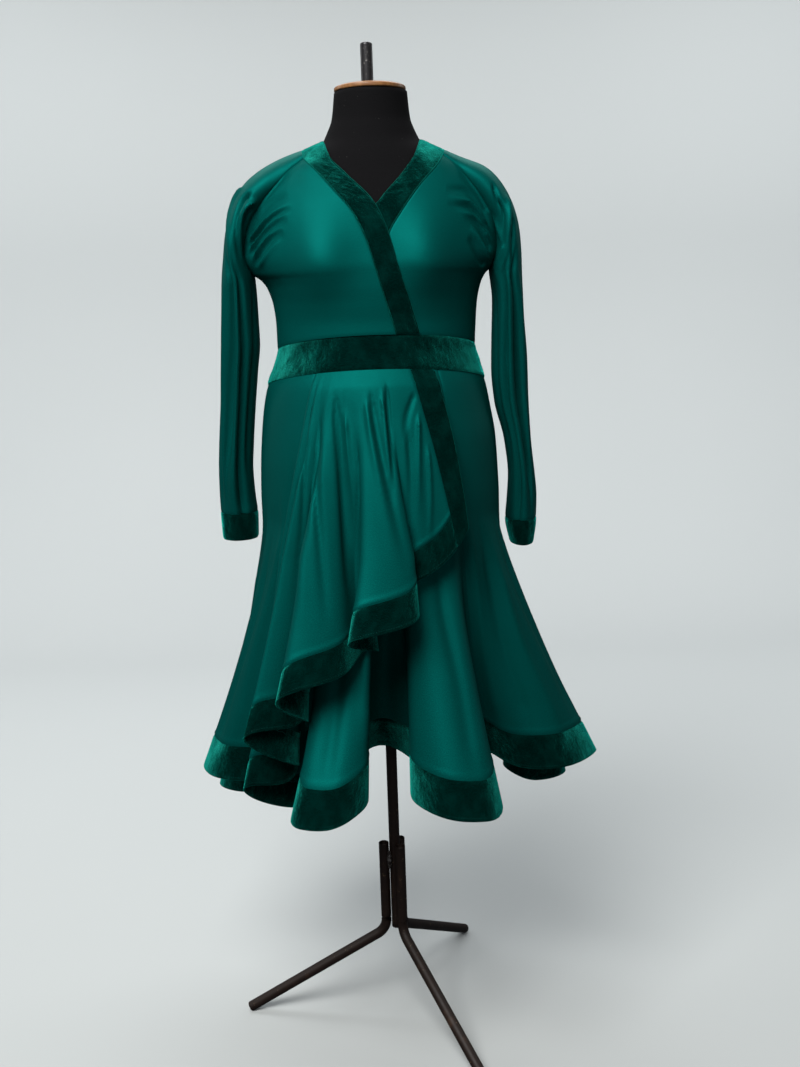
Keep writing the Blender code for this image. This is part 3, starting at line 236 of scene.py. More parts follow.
def leg_path(turn):
    """Centre line of a leg: down beside the pole, round the bend, out to the foot."""
    wide = math.pi / 2 - LEG_SPLAY
    reach = FOOT_REACH - LEG_OFFSET - LEG_BEND * (1 - math.cos(wide))
    foot_z = LEG_RADIUS * math.cos(LEG_SPLAY) - FOOT_CUT
    bend_z = foot_z + reach * math.tan(LEG_SPLAY) + LEG_BEND * math.sin(wide)
    line = [(LEG_OFFSET, LEG_TOP - d) for d in (0, 0.0006, 0.0015, 0.012)]
    line += [(LEG_OFFSET, z) for z in np.linspace(LEG_TOP - 0.025, bend_z + 0.001, 24)]
    for a in wide * np.linspace(0, 1, 17)[1:]:
        line.append((LEG_OFFSET + LEG_BEND * (1 - math.cos(a)), bend_z - LEG_BEND * math.sin(a)))
    start = line[-1]
    for t in (0.2, 0.4, 0.6, 0.8, 0.94, 0.99, 0.997, 1.0):
        line.append((start[0] + (FOOT_REACH - start[0]) * t, start[1] + (foot_z - start[1]) * t))
    c, s = heading(turn)
    return AXIS + np.array([(r * c, r * s, z) for r, z in line])


def tube_rings(end):
    """Rings of an open tube's skin, from inside its top over its outside to inside its foot."""
    bore, skin = LEG_BORE, LEG_RADIUS
    top = [(3, bore), (2, bore), (1, bore + 0.0001), (0, bore + 0.0005), (0, skin - 0.0005)]
    foot = [(end, skin - 0.0006), (end, bore), (end - 1, bore - 0.0002), (end - 3, bore - 0.0004)]
    return top + [(k, skin) for k in range(1, end)] + foot


for leg_name, turn in LEG_TURNS.items():
    path = leg_path(turn)
    skin = swept(path, tube_rings(len(path) - 1), 40)
    skin[..., 2] = np.maximum(skin[..., 2], 0.0)
    c, s = heading(turn)
    leg = surface(leg_name + "_tube", skin, steel, ring=True, poles=(0, -1), outward=np.array([s, -c, 0.0]))
    place_piece(leg, leg_name)

POLE_LOW, POLE_HIGH = 0.167, 0.9997
pole_path = AXIS + np.array([(0, 0, z) for z in np.linspace(POLE_LOW, POLE_HIGH, 60)])
pole_rings = [(0, POLE_RADIUS - 0.001)] + [(k, POLE_RADIUS) for k in range(60)]
pole = surface("pole_tube", swept(pole_path, pole_rings, 48), steel, ring=True, poles=(0, -1))
place_piece(pole, "pole")


def weld_finish():
    material, shader, place = finish("weld_metal")
    grain = place.noise(600.0, 4.0, 0.7)
    bare = (place.noise(130.0, 4.0, 0.6) * 0.8 + grain * 0.2).between(0.47, 0.56)
    feed(shader, Base_Color=bare.mix((0.012, 0.007, 0.005, 1), (0.27, 0.26, 0.25, 1)), Metallic=bare * 0.8,
         Roughness=0.65 - bare * 0.25, Normal=grain.bump(0.0004))
    return material


WELDS = {"right": (0.292, 0.326), "front": (0.284, 0.314), "back": (0.290, 0.322)}
BEAD = 0.0042
weld_metal = weld_finish()
along = ((POLE_RADIUS + BEAD) ** 2 - (LEG_RADIUS + BEAD) ** 2 + LEG_OFFSET ** 2) / (2 * LEG_OFFSET)
aside = math.sqrt((POLE_RADIUS + BEAD) ** 2 - along ** 2)
for leg_side, (low, high) in WELDS.items():
    turn = LEG_TURNS["leg_" + leg_side]
    c, s = heading(turn)
    z = np.linspace(low, high, 70)
    t = (z - low) / (high - low)
    wide = BEAD * (0.25 + 0.75 * np.sin(math.pi * (0.03 + 0.94 * t)) ** 0.45)
    wide *= 0.95 + 0.09 * np.abs(np.sin(t * math.pi * 7.5)) + 0.05 * np.sin(t * 23.0 + turn)
    a = np.linspace(0, 2 * math.pi, 28, endpoint=False)[:, None]
    lump = wide * (1 + 0.06 * np.sin(3 * a + 9 * t) + 0.05 * np.sin(2 * a - 17 * t))
    x, y = along * c - aside * s, along * s + aside * c
    skin = AXIS + np.stack([x + lump * np.cos(a), y + lump * np.sin(a), z + 0 * a], axis=-1)
    weld = surface("weld_" + leg_side + "_bead", skin, weld_metal, ring=True, poles=(0, -1))
    place_piece(weld, "weld_" + leg_side)


# Dress form: a limbless torso of firm foam under dark jersey, a turned wooden
# cap on its neck, and the bare steel end of the pole above the cap.
def clip(x):
    """A value held between 0 and 1."""
    return np.clip(x, 0, 1)


def hump(x, wide):
    """A soft hump, 1 high where x is 0."""
    return np.exp(-(x / wide) ** 2)


def soft_step(x):
    """A smooth rise from 0 to 1."""
    x = clip(x)
    return x * x * (3 - 2 * x)


def curve_between(y, slope, row, t, step):
    """Values between the rows of y, which has the given slopes at them, at t from row to the next."""
    return (y[row] * (1 + 2 * t) * (1 - t) ** 2 + slope[row] * step * t * (1 - t) ** 2
            + y[row + 1] * t * t * (3 - 2 * t) + slope[row + 1] * step * t * t * (t - 1))


class Table:
    """Rows of sizes under named columns, read smoothly between the rows."""

    def __init__(self, names, rows):
        self.names = names.split()
        self.rows = np.array(rows, float)

    def at(self, name, place):
        x = self.rows[:, 0]
        y = self.rows[:, self.names.index(name)]
        step = np.diff(x)
        rise = np.diff(y) / step
        slope = np.concatenate([rise[:1], np.zeros(len(x) - 2), rise[-1:]])
        same = rise[1:] * rise[:-1] > 0
        mean = 2 * rise[1:] * rise[:-1] / np.where(same, rise[1:] + rise[:-1], 1.0)
        slope[1:-1] = np.where(same, mean, 0.0)
        place = np.clip(np.asarray(place, float), x[0], x[-1])
        row = np.clip(np.searchsorted(x, place, side="right") - 1, 0, len(step) - 1)
        return curve_between(y, slope, row, (place - x[row]) / step[row], step[row])

    def of(self, side):
        """The rows that begin with a side, without it."""
        return self.rows[self.rows[:, 0] == side, 1:]


# The worn body: half widths and depths of its oval at each height. The dress
# stands out from the form only at the armholes, where the sleeves pull it.
BODY = Table("height right left front back form_right form_left", [
    (0.400, 0.212, 0.206, 0.165, 0.160, 0.200, 0.200),
    (1.000, 0.212, 0.206, 0.165, 0.160, 0.208, 0.202),
    (1.060, 0.210, 0.204, 0.163, 0.158, 0.207, 0.201),
    (1.110, 0.206, 0.201, 0.158, 0.152, 0.204, 0.199),
    (1.160, 0.200, 0.193, 0.150, 0.142, 0.200, 0.193),
    (1.206, 0.190, 0.184, 0.142, 0.131, 0.190, 0.184),
    (1.235, 0.178, 0.175, 0.131, 0.123, 0.178, 0.175),
    (1.265, 0.169, 0.168, 0.124, 0.118, 0.169, 0.168),
    (1.306, 0.169, 0.170, 0.122, 0.118, 0.169, 0.170),
    (1.340, 0.172, 0.173, 0.125, 0.121, 0.172, 0.173),
    (1.370, 0.181, 0.180, 0.127, 0.124, 0.177, 0.176),
    (1.385, 0.192, 0.188, 0.127, 0.125, 0.178, 0.177),
    (1.395, 0.206, 0.198, 0.127, 0.126, 0.179, 0.178),
    (1.425, 0.224, 0.212, 0.123, 0.126, 0.180, 0.179),
    (1.465, 0.222, 0.214, 0.115, 0.122, 0.178, 0.178),
    (1.510, 0.206, 0.204, 0.104, 0.112, 0.170, 0.170),
    (1.550, 0.172, 0.176, 0.091, 0.098, 0.150, 0.152),
    (1.578, 0.130, 0.137, 0.082, 0.086, 0.122, 0.128),
    (1.600, 0.086, 0.092, 0.073, 0.074, 0.083, 0.089),
    (1.615, 0.073, 0.079, 0.067, 0.068, 0.073, 0.079),
    (1.640, 0.062, 0.069, 0.060, 0.060, 0.062, 0.069),
    (1.683, 0.056, 0.065, 0.058, 0.058, 0.056, 0.065),
])
BUST_X, BUST_Z, BUST_OUT = 0.088, 1.405, 0.022
BUST_WIDE, BUST_TALL = 0.048, 0.052


def body(u, z, shape="dress"):
    """Point of the worn body at angle u round it (front is -90 degrees) and height z."""
    u, z = np.broadcast_arrays(np.asarray(u, float), np.asarray(z, float))
    sides = ("right", "left") if shape == "dress" else ("form_right", "form_left")
    wide = np.where(np.cos(u) < 0, BODY.at(sides[0], z), BODY.at(sides[1], z))
    deep = np.where(np.sin(u) < 0, BODY.at("front", z), BODY.at("back", z))
    x = wide * np.cos(u)
    rise = hump(z - BUST_Z, np.where(z > BUST_Z, BUST_TALL * 1.5, BUST_TALL))
    cups = hump(x - BUST_X, BUST_WIDE) + hump(x + BUST_X, BUST_WIDE)
    y = deep * np.sin(u) - BUST_OUT * rise * cups * clip(-np.sin(u) * 1.6) ** 2
    return np.stack([x, y, z], axis=-1)


def angle_at(x, z, face):
    """Angle round the body where the dress is at x, on its front (-1) or back (+1)."""
    wide = np.where(x < 0, BODY.at("right", z), BODY.at("left", z))
    return face * np.arccos(np.clip(x / wide, -1, 1))


def unit(v):
    return v / np.maximum(np.linalg.norm(v, axis=-1, keepdims=True), 1e-12)


def normals(surface, a, b, outward):
    """Unit normals of a surface(a, b) turned to the side that outward points to."""
    e = 1e-4
    n = unit(np.cross(surface(a + e, b) - surface(a - e, b), surface(a, b + e) - surface(a, b - e)))
    flip = np.sign(np.sum(n * outward, axis=-1, keepdims=True))
    return n * np.where(flip == 0, 1, flip)


def body_normal(u, z):
    return normals(body, u, z, body(u, z) * (1.0, 1.0, 0.0))


def body_cloth(u, z, off):
    """Point that stands off the body by off, for cloth that lies on it."""
    return body(u, z) + body_normal(u, z) * off


WAIST_TOP_SIDE, WAIST_TOP_FRONT = 1.264, 1.290
WAIST_LOW_SIDE, WAIST_LOW_FRONT = 1.206, 1.235


def waist(u, top):
    """Height of the waistband's top or lower edge, which rises over the front."""
    side, front = (WAIST_TOP_SIDE, WAIST_TOP_FRONT) if top else (WAIST_LOW_SIDE, WAIST_LOW_FRONT)
    return side + (front - side) * clip(-np.sin(u))


def jersey_finish():
    material, shader, place = finish("form_jersey", Roughness=0.9, Specular_IOR_Level=0.06)
    worn = place.noise(9.0, 4.0, 0.6)
    knit = place.noise(900.0, 2.0, 0.5, (1.0, 1.0, 0.6))
    lint = place.noise(330.0, 1.0, 0.4).between(0.775, 0.83)
    cloth = worn.mix((0.0030, 0.0030, 0.0036, 1), (0.0052, 0.0052, 0.0058, 1))
    shade = (knit * 0.6).mix(cloth, (0.0095, 0.0095, 0.0103, 1))
    feed(shader, Base_Color=(lint * 0.7).mix(shade, (0.09, 0.09, 0.085, 1)),
         Normal=(knit + lint * 1.5).bump(0.0003, 0.7))
    return material


FORM_BASE, NECK_TOP = 1.000, 1.683
UNDER_NECKBAND, UNDER_DRESS = 0.0012, 0.0045


def form_grid():
    """The form's skin, drawn in a little where the dress covers it."""
    z = np.array([FORM_BASE, *np.linspace(FORM_BASE + 0.002, NECK_TOP - 0.0015, 120), NECK_TOP - 0.0004])
    u = np.linspace(-math.pi, math.pi, 120, endpoint=False)
    point = body(u[:, None], z[None, :], "form")
    wide = np.linalg.norm(point[..., :2], axis=-1, keepdims=True)

    def under(height):
        return clip((height - z) / 0.02)[None, :, None]
    aside = clip((np.abs(point[..., :1]) - 0.060) / 0.030) * under(1.575)
    back = clip(point[..., 1:2] / 0.03) * under(1.590)
    dress = np.maximum(np.maximum(aside, under(1.430)), back)
    drawn = (UNDER_NECKBAND + UNDER_DRESS * dress) * under(1.625)
    edge = np.where((z <= FORM_BASE) | (z > NECK_TOP - 0.0005), 0.0015, 0.0)[None, :, None]
    point[..., :2] *= 1 - (drawn + edge) / wide
    return AXIS + point


torso = surface("form_skin", form_grid(), jersey_finish(), ring=True, poles=(0, -1))
place_piece(torso, "form_torso")


def wood_finish():
    material, shader, place = finish("varnished_wood", Coat_Weight=0.35, Coat_Roughness=0.2)
    ring = place.bands("Y", 60.0, 5.0, 3.0, 1.2)
    fibre = place.noise(160.0, 4.0, 0.6, (0.12, 1.0, 1.0))
    dirt = place.noise(40.0, 4.0, 0.6).between(0.5, 0.8)
    colour = (ring * 0.45 + fibre * 0.4).mix((0.34, 0.158, 0.052, 1), (0.18, 0.068, 0.018, 1))
    feed(shader, Base_Color=(dirt * 0.5).mix(colour, (0.12, 0.045, 0.015, 1)), Roughness=0.38 + fibre * 0.2,
         Normal=fibre.bump(0.00015, 0.6))
    return material


CAP_RADIUS, CAP_RIM, CAP_DOME, CAP_X = 0.0595, 0.005, 0.013, 0.0035


def turned(profile, sides, centre_x=0.0):
    """Grid of a turned piece from (radius, height) pairs, bottom up."""
    a = np.linspace(0, 2 * math.pi, sides, endpoint=False)[:, None]
    r, z = np.array(profile).T
    return AXIS + np.stack([centre_x + r * np.cos(a), r * np.sin(a), z + 0 * a], axis=-1)


cap_low = NECK_TOP + 0.0003
cap_profile = [(CAP_RADIUS - 0.0022, cap_low), (CAP_RADIUS - 0.0008, cap_low + 0.0003),
               (CAP_RADIUS - 0.0002, cap_low + 0.0010), (CAP_RADIUS, cap_low + 0.0020)]
cap_profile += [(CAP_RADIUS, cap_low + CAP_RIM * t) for t in (0.6, 0.8, 1.0)]
for lean in np.radians(np.arange(4, 81, 4)):
    dome = cap_low + CAP_RIM + (CAP_DOME - CAP_RIM) * math.sin(lean)
    cap_profile.append((CAP_RADIUS * math.cos(lean), dome))
cap = surface("cap_turning", turned(cap_profile, 120, CAP_X), wood_finish(), ring=True, poles=(0, -1))
place_piece(cap, "neck_cap")


def pole_end_finish():
    material, shader, place = finish("dark_bare_steel")
    streak = place.noise(130.0, 4.0, 0.6, (1.0, 1.0, 0.12))
    spot = place.noise(220.0, 4.0, 0.7).between(0.58, 0.70)
    dark = streak.mix((0.012, 0.012, 0.013, 1), (0.075, 0.075, 0.080, 1))
    feed(shader, Base_Color=spot.mix(dark, (0.20, 0.19, 0.18, 1)), Metallic=0.35 + streak * 0.5,
         Roughness=0.28 + spot * 0.25, Normal=streak.bump(0.0002, 0.5))
    return material


POLE_TOP = 1.760
cap_top = cap_low + CAP_DOME - 0.0001
end_side = cap_top + (POLE_TOP - 0.004 - cap_top) * np.linspace(0.05, 0.95, 14)
end_profile = [(POLE_RADIUS, z) for z in (cap_top, *end_side, POLE_TOP - 0.0040, POLE_TOP - 0.0032)]
for share, drop in ((0.975, 0.0020), (0.92, 0.0010), (0.83, 0.0003), (0.70, 0.0), (0.60, 0.0)):
    end_profile.append((POLE_RADIUS * share, POLE_TOP - drop))
pole_end = surface("pole_end", turned(end_profile, 48), pole_end_finish(), ring=True, poles=(0, -1))
place_piece(pole_end, "pole_top")


# Bodice: two crossed fronts and a back of stretch satin, cut close to the form
# and sewn to raglan sleeves, whose pull draws folds across the upper chest.
EASE, LAP = 0.0007, 0.0034
SATIN, VELVET = 0.0011, 0.0018


def satin_finish():
    """Emerald stretch satin, a fine knit with a soft broad shine."""
    material, shader, place = finish("emerald_satin", "UV", Specular_IOR_Level=0.12,
                                     Specular_Tint=(0.02, 1.0, 0.86, 1))
    rib = place.bands("X", 900.0, 1.5, 1.0, 2.0)
    grain = place.noise(1100.0, 2.0, 0.6, (1.0, 0.45, 1.0))
    cloud = place.noise(14.0, 3.0, 0.55)
    ripple = place.noise(60.0, 2.0, 0.5, (1.0, 0.3, 1.0))
    tone = cloud.mix((0.0001, 0.056, 0.050, 1), (0.0002, 0.068, 0.060, 1))
    speck = grain.between(0.30, 0.74)
    bright = cloud.mix((0.0005, 0.100, 0.089, 1), (0.0010, 0.118, 0.105, 1))
    feed(shader, Base_Color=speck.mix(tone, bright), Metallic=0.36 + cloud * 0.05,
         Roughness=0.46 + speck * 0.07 + cloud * 0.05,
         Normal=(rib * 0.3 + speck * 0.7).bump(0.00012, 0.6, ripple.bump(0.0004, 0.4)))
    return material


satin = satin_finish()


def lengths(point):
    """Distances along each column line and row line of a grid, from its first point."""
    across = np.linalg.norm(np.diff(point, axis=0), axis=-1)
    down = np.linalg.norm(np.diff(point, axis=1), axis=-1)
    first = np.concatenate([np.zeros((1, point.shape[1])), np.cumsum(across, axis=0)])
    second = np.concatenate([np.zeros((point.shape[0], 1)), np.cumsum(down, axis=1)], axis=1)
    return first, second


def seam_edges(point, edges, depth=0.0008, wide=0.0022):
    """Depth by which cloth dips into the seams at the named edges of its grid."""
    across, down = lengths(point)
    away = {"first": across, "last": across[-1:] - across, "top": down, "low": down[:, -1:] - down}
    return sum(depth * hump(away[edge], wide) for edge in edges)


def close(count, share=0.6):
    """Places from 0 to 1 that stand closer together at both ends."""
    t = np.linspace(0, 1, count)
    return t * (1 - share) + (1 - np.cos(math.pi * t)) / 2 * share


def uneven(x, y, seed):
    """Smooth uneven heights from -1 to 1 over a plane, about one rise to a unit."""
    field = np.random.default_rng(seed).uniform(-1, 1, (64, 64))
    i, j = np.floor(x).astype(int), np.floor(y).astype(int)
    a, b = soft_step(x - i), soft_step(y - j)
    i, j = i % 63, j % 63
    low = field[i, j] * (1 - a) + field[i + 1, j] * a
    high = field[i, j + 1] * (1 - a) + field[i + 1, j + 1] * a
    return low * (1 - b) + high * b


def crushed(point, size, seed):
    """Uneven heights of crushed cloth over a grid of points, its creases slanting across it."""
    across, down = lengths(point)
    wide, tall = across[:, point.shape[1] // 2][:, None] / size, down / size
    return (uneven(wide + tall * 0.6, tall * 0.8, seed) * 0.65
            + uneven(wide * 2.1 - tall, tall * 1.7 + 9, seed + 1) * 0.35)


def bake(piece, sharp_angle):
    """Applies a piece's modifiers and marks its sharp edges."""
    view = bpy.context.evaluated_depsgraph_get()
    mesh = bpy.data.meshes.new_from_object(piece.evaluated_get(view))
    piece.modifiers.clear()
    old = piece.data
    piece.data = mesh
    bpy.data.meshes.remove(old)
    mesh.name = piece.name
    mesh.shade_smooth()
    mesh.set_sharp_from_angle(angle=math.radians(sharp_angle))


def sewn(name, node, grid, normal, high, material, ring=False):
    """A piece of satin or velvet on the body in place of its solid.

    Its face stands high over a grid of points, its wall is turned inward from
    there, and its UV map is its cut.
    """
    thick, slot = (SATIN, "satin") if material == satin else (VELVET, "velvet")
    point = grid + normal * high[..., None]
    across, down = lengths(point)
    uv = np.stack([across[:, point.shape[1] // 2][:, None] + 0 * down, -down], axis=-1)
    middle = (point.shape[0] // 4, point.shape[1] // 2)
    piece = surface(name, AXIS + point, material, ring, uv, outward=normal[middle])
    wall = piece.modifiers.new("wall", "SOLIDIFY")
    wall.thickness = thick
    wall.offset = -1.0
    wall.use_rim = True
    bake(piece, 45.0)
    place_piece(piece, node)
    return piece


# Drag folds on one face of the bodice, as bent lines through four places from the armhole to where
# they fade: the side that they are on, the places, half width and height; negative ones are troughs
PULLS = Table("side x1 z1 x2 z2 x3 z3 x4 z4 wide high", [
    (-1, 0.206, 1.448, 0.186, 1.485, 0.163, 1.506, 0.134, 1.517, 0.0062, -0.0058),
    (-1, 0.206, 1.442, 0.179, 1.470, 0.155, 1.490, 0.126, 1.500, 0.0034, 0.0040),
    (-1, 0.205, 1.434, 0.180, 1.462, 0.156, 1.482, 0.129, 1.493, 0.0040, -0.0052),
    (-1, 0.204, 1.427, 0.182, 1.457, 0.157, 1.477, 0.129, 1.487, 0.0032, 0.0040),
    (-1, 0.203, 1.419, 0.180, 1.449, 0.158, 1.467, 0.135, 1.477, 0.0050, -0.0058),
    (-1, 0.200, 1.413, 0.176, 1.444, 0.160, 1.458, 0.142, 1.467, 0.0036, 0.0038),
    (-1, 0.197, 1.405, 0.173, 1.435, 0.157, 1.450, 0.143, 1.458, 0.0062, -0.0056),
    (-1, 0.192, 1.400, 0.169, 1.428, 0.156, 1.442, 0.147, 1.450, 0.0065, 0.0024),
    (-1, 0.196, 1.492, 0.178, 1.512, 0.158, 1.535, 0.132, 1.557, 0.0062, -0.0048),
    (1, 0.196, 1.450, 0.168, 1.502, 0.146, 1.516, 0.120, 1.518, 0.0052, -0.0056),
    (1, 0.195, 1.443, 0.166, 1.490, 0.147, 1.500, 0.122, 1.508, 0.0036, 0.0040),
    (1, 0.195, 1.436, 0.166, 1.479, 0.146, 1.489, 0.122, 1.495, 0.0044, -0.0056),
    (1, 0.194, 1.429, 0.178, 1.462, 0.163, 1.476, 0.138, 1.481, 0.0034, 0.0040),
    (1, 0.194, 1.416, 0.183, 1.443, 0.170, 1.461, 0.148, 1.471, 0.0056, -0.0058),
    (1, 0.190, 1.401, 0.180, 1.424, 0.169, 1.443, 0.157, 1.455, 0.0038, 0.0040),
    (1, 0.184, 1.395, 0.174, 1.408, 0.165, 1.427, 0.154, 1.441, 0.0056, -0.0052),
    (1, 0.190, 1.480, 0.181, 1.500, 0.165, 1.522, 0.143, 1.545, 0.0058, -0.0044),
])
DEEPEST = 0.0046


def bent(places):
    """Points at 60 even steps on the smooth curve through four points."""
    t = np.linspace(0, 1, 60)[:, None] * 3
    share = [(t - 1) * (t - 2) * (t - 3) / -6, t * (t - 2) * (t - 3) / 2, t * (t - 1) * (t - 3) / -2,
             t * (t - 1) * (t - 2) / 6]
    return sum(w * p for w, p in zip(share, np.reshape(places, (4, 2))))


def near_line(point, line):
    """Distance of each point of a grid from a line of points, and the place along it."""
    best, place = np.full(point.shape[:-1], 1.0), np.zeros(point.shape[:-1])
    for k, on_line in enumerate(line):
        gap = np.linalg.norm(point - on_line, axis=-1)
        nearer = gap < best
        best, place = np.where(nearer, gap, best), np.where(nearer, k / (len(line) - 1), place)
    return best, place


def fold_along(point, line, wide, high):
    """Height of a fold over a grid of points: narrow at its root, wider and fading towards its end."""
    gap, place = near_line(point, line)
    d = gap / (wide * (0.62 + 0.6 * place))
    return high * 1.35 * clip(place * 8) ** 1.5 * (1 - place ** 2) ** 1.1 * hump(d, 1)


def limited(total, deepest):
    """Heights of relief with its troughs held softly above a depth."""
    return np.where(total < 0, deepest * np.tanh(total / deepest), total)


def drag_folds(point, face):
    """Height of the drag folds at points of the bodice; the hidden face has lower ones."""
    total = np.zeros(point.shape[:-1])
    flat = point[..., [0, 2]]
    for n, (side, *places, wide, high) in enumerate(PULLS.rows):
        line = np.reshape(places, (4, 2)) * (side, 1)
        if face > 0:
            k = np.arange(4)
            line = np.column_stack([line[:, 0] * (0.985 - 0.03 * k), line[:, 1] + 0.004 * np.sin(n + k)])
            high *= 0.75 + 0.15 * math.sin(2.0 * n)
        total += fold_along(flat, bent(line), wide, high * 1.25)
    return limited(total, DEEPEST)


# Raglan seams, shared by the fronts, the back and the sleeves
RAGLAN = Table("height right left", [
    (1.395, 0.2060, 0.1980),
    (1.410, 0.2130, 0.2040),
    (1.430, 0.2165, 0.2075),
    (1.465, 0.2090, 0.2040),
    (1.490, 0.1950, 0.1920),
    (1.515, 0.1760, 0.1760),
    (1.535, 0.1560, 0.1600),
    (1.556, 0.1340, 0.1420),
    (1.574, 0.1085, 0.1190),
])
ARMPIT, RAGLAN_TOP, BACK_NECK_DIP = 1.395, 1.574, 0.006
# Heights down the outer edge of a bodice panel, the raglan seam and then the side seam
PANEL_Z = [RAGLAN_TOP, 1.554, 1.531, 1.506, 1.480, 1.455, 1.430, 1.410, ARMPIT,
           1.380, 1.362, 1.335, 1.300, WAIST_TOP_SIDE]
NAMES = {-1: "right", 1: "left"}


def raglan(z, side, face):
    """Angle round the body of a raglan seam at height z; side -1 is the right."""
    return angle_at(side * RAGLAN.at(NAMES[side], z), z, face)


def read(values, share):
    """Values at even steps, read at shares of the way from the first to the last."""
    return np.interp(share, np.linspace(0, 1, len(values)), values)


def panel_edge(z, side, face):
    """Angle round the body of a panel's outer edge: its raglan seam, then its side seam."""
    under = face * math.pi if side < 0 else 0.0
    return np.where(z >= ARMPIT, raglan(np.clip(z, ARMPIT, None), side, face), under)


# Edges of the neckbands. The right one laps over and runs on to the waistband,
# the left one goes in under it, t=0 at the shoulder.
NECK_EDGE = {-1: Table("t out_x out_z in_x in_z", [
    (0.00, -0.1085, 1.5740, -0.0760, 1.6020),
    (0.10, -0.0870, 1.5520, -0.0660, 1.5740),
    (0.22, -0.0600, 1.5200, -0.0380, 1.5430),
    (0.36, -0.0300, 1.4820, 0.0030, 1.4980),
    (0.50, -0.0110, 1.4400, 0.0240, 1.4520),
    (0.66, 0.0050, 1.3860, 0.0400, 1.3940),
    (0.82, 0.0190, 1.3370, 0.0550, 1.3420),
    (1.00, 0.0320, 1.2900, 0.0690, 1.2900),
]), 1: Table("t out_x out_z in_x in_z", [
    (0.00, 0.1190, 1.5740, 0.0830, 1.6000),
    (0.10, 0.1060, 1.5550, 0.0730, 1.5740),
    (0.22, 0.0790, 1.5260, 0.0500, 1.5420),
    (0.36, 0.0480, 1.4850, 0.0170, 1.5060),
    (0.50, 0.0250, 1.4480, -0.0080, 1.4680),
    (0.66, 0.0120, 1.4000, 0.0, 1.4),
    (0.82, 0.0150, 1.3400, 0.0, 1.3),
    (1.00, 0.0250, 1.2900, 0.0, 1.2),
])}
EDGE_T = [0.004, 0.09, 0.15, 0.22, 0.30, 0.38, 0.46, 0.54, 0.61, 0.68, 0.76, 0.84, 0.92, 1.0]


def lap(z):
    """Share of the lap's height at a place of the overlapping neckband."""
    return clip((1.545 - z) / 0.040)


def front_panel(side, columns, rows):
    """A crossed front, from its side and raglan seams to its neckband."""
    way_down = np.linspace(0, 1, rows)
    z_out, edge_t = read(PANEL_Z, way_down), read(EDGE_T, way_down)
    u_out = panel_edge(z_out, side, -1)
    z_in = NECK_EDGE[side].at("out_z", edge_t)
    u_in = angle_at(NECK_EDGE[side].at("out_x", edge_t), z_in, -1)
    s = close(columns)[:, None]
    u = u_out + (u_in - u_out) * s
    z = z_out + (z_in - z_out) * s
    z = z + (waist(u[:, -1:], True) - z[:, -1:]) * way_down ** 4
    rise = lap(z) * clip(s * 1.5) if side < 0 else 0.0
    point, normal = body(u, z), body_normal(u, z)
    off = EASE + (LAP - EASE) * rise + SATIN + drag_folds(point, -1) * clip(s * 14)
    off = off - seam_edges(point, ("first", "last", "low"))
    return sewn("front_" + NAMES[side], "bodice_front_" + NAMES[side], point, normal, off, satin)


def back_panel(columns, rows):
    way_down = np.linspace(0, 1, rows)
    z_side = read(PANEL_Z, way_down)
    u_left, u_right = panel_edge(z_side, 1, 1), panel_edge(z_side, -1, 1)
    s = close(columns, 0.3)[:, None]
    u = u_left + (u_right - u_left) * s
    z = z_side - BACK_NECK_DIP * np.sin(math.pi * s) * (1 - way_down) ** 2
    point, normal = body(u, z), body_normal(u, z)
    off = EASE + SATIN + drag_folds(point, 1) * clip(np.minimum(s, 1 - s) * 25)
    off = off - seam_edges(point, ("first", "last", "top", "low"))
    return sewn("back", "bodice_back", point, normal, off, satin)


front_panel(-1, 110, 150)
front_panel(1, 104, 150)
back_panel(170, 125)


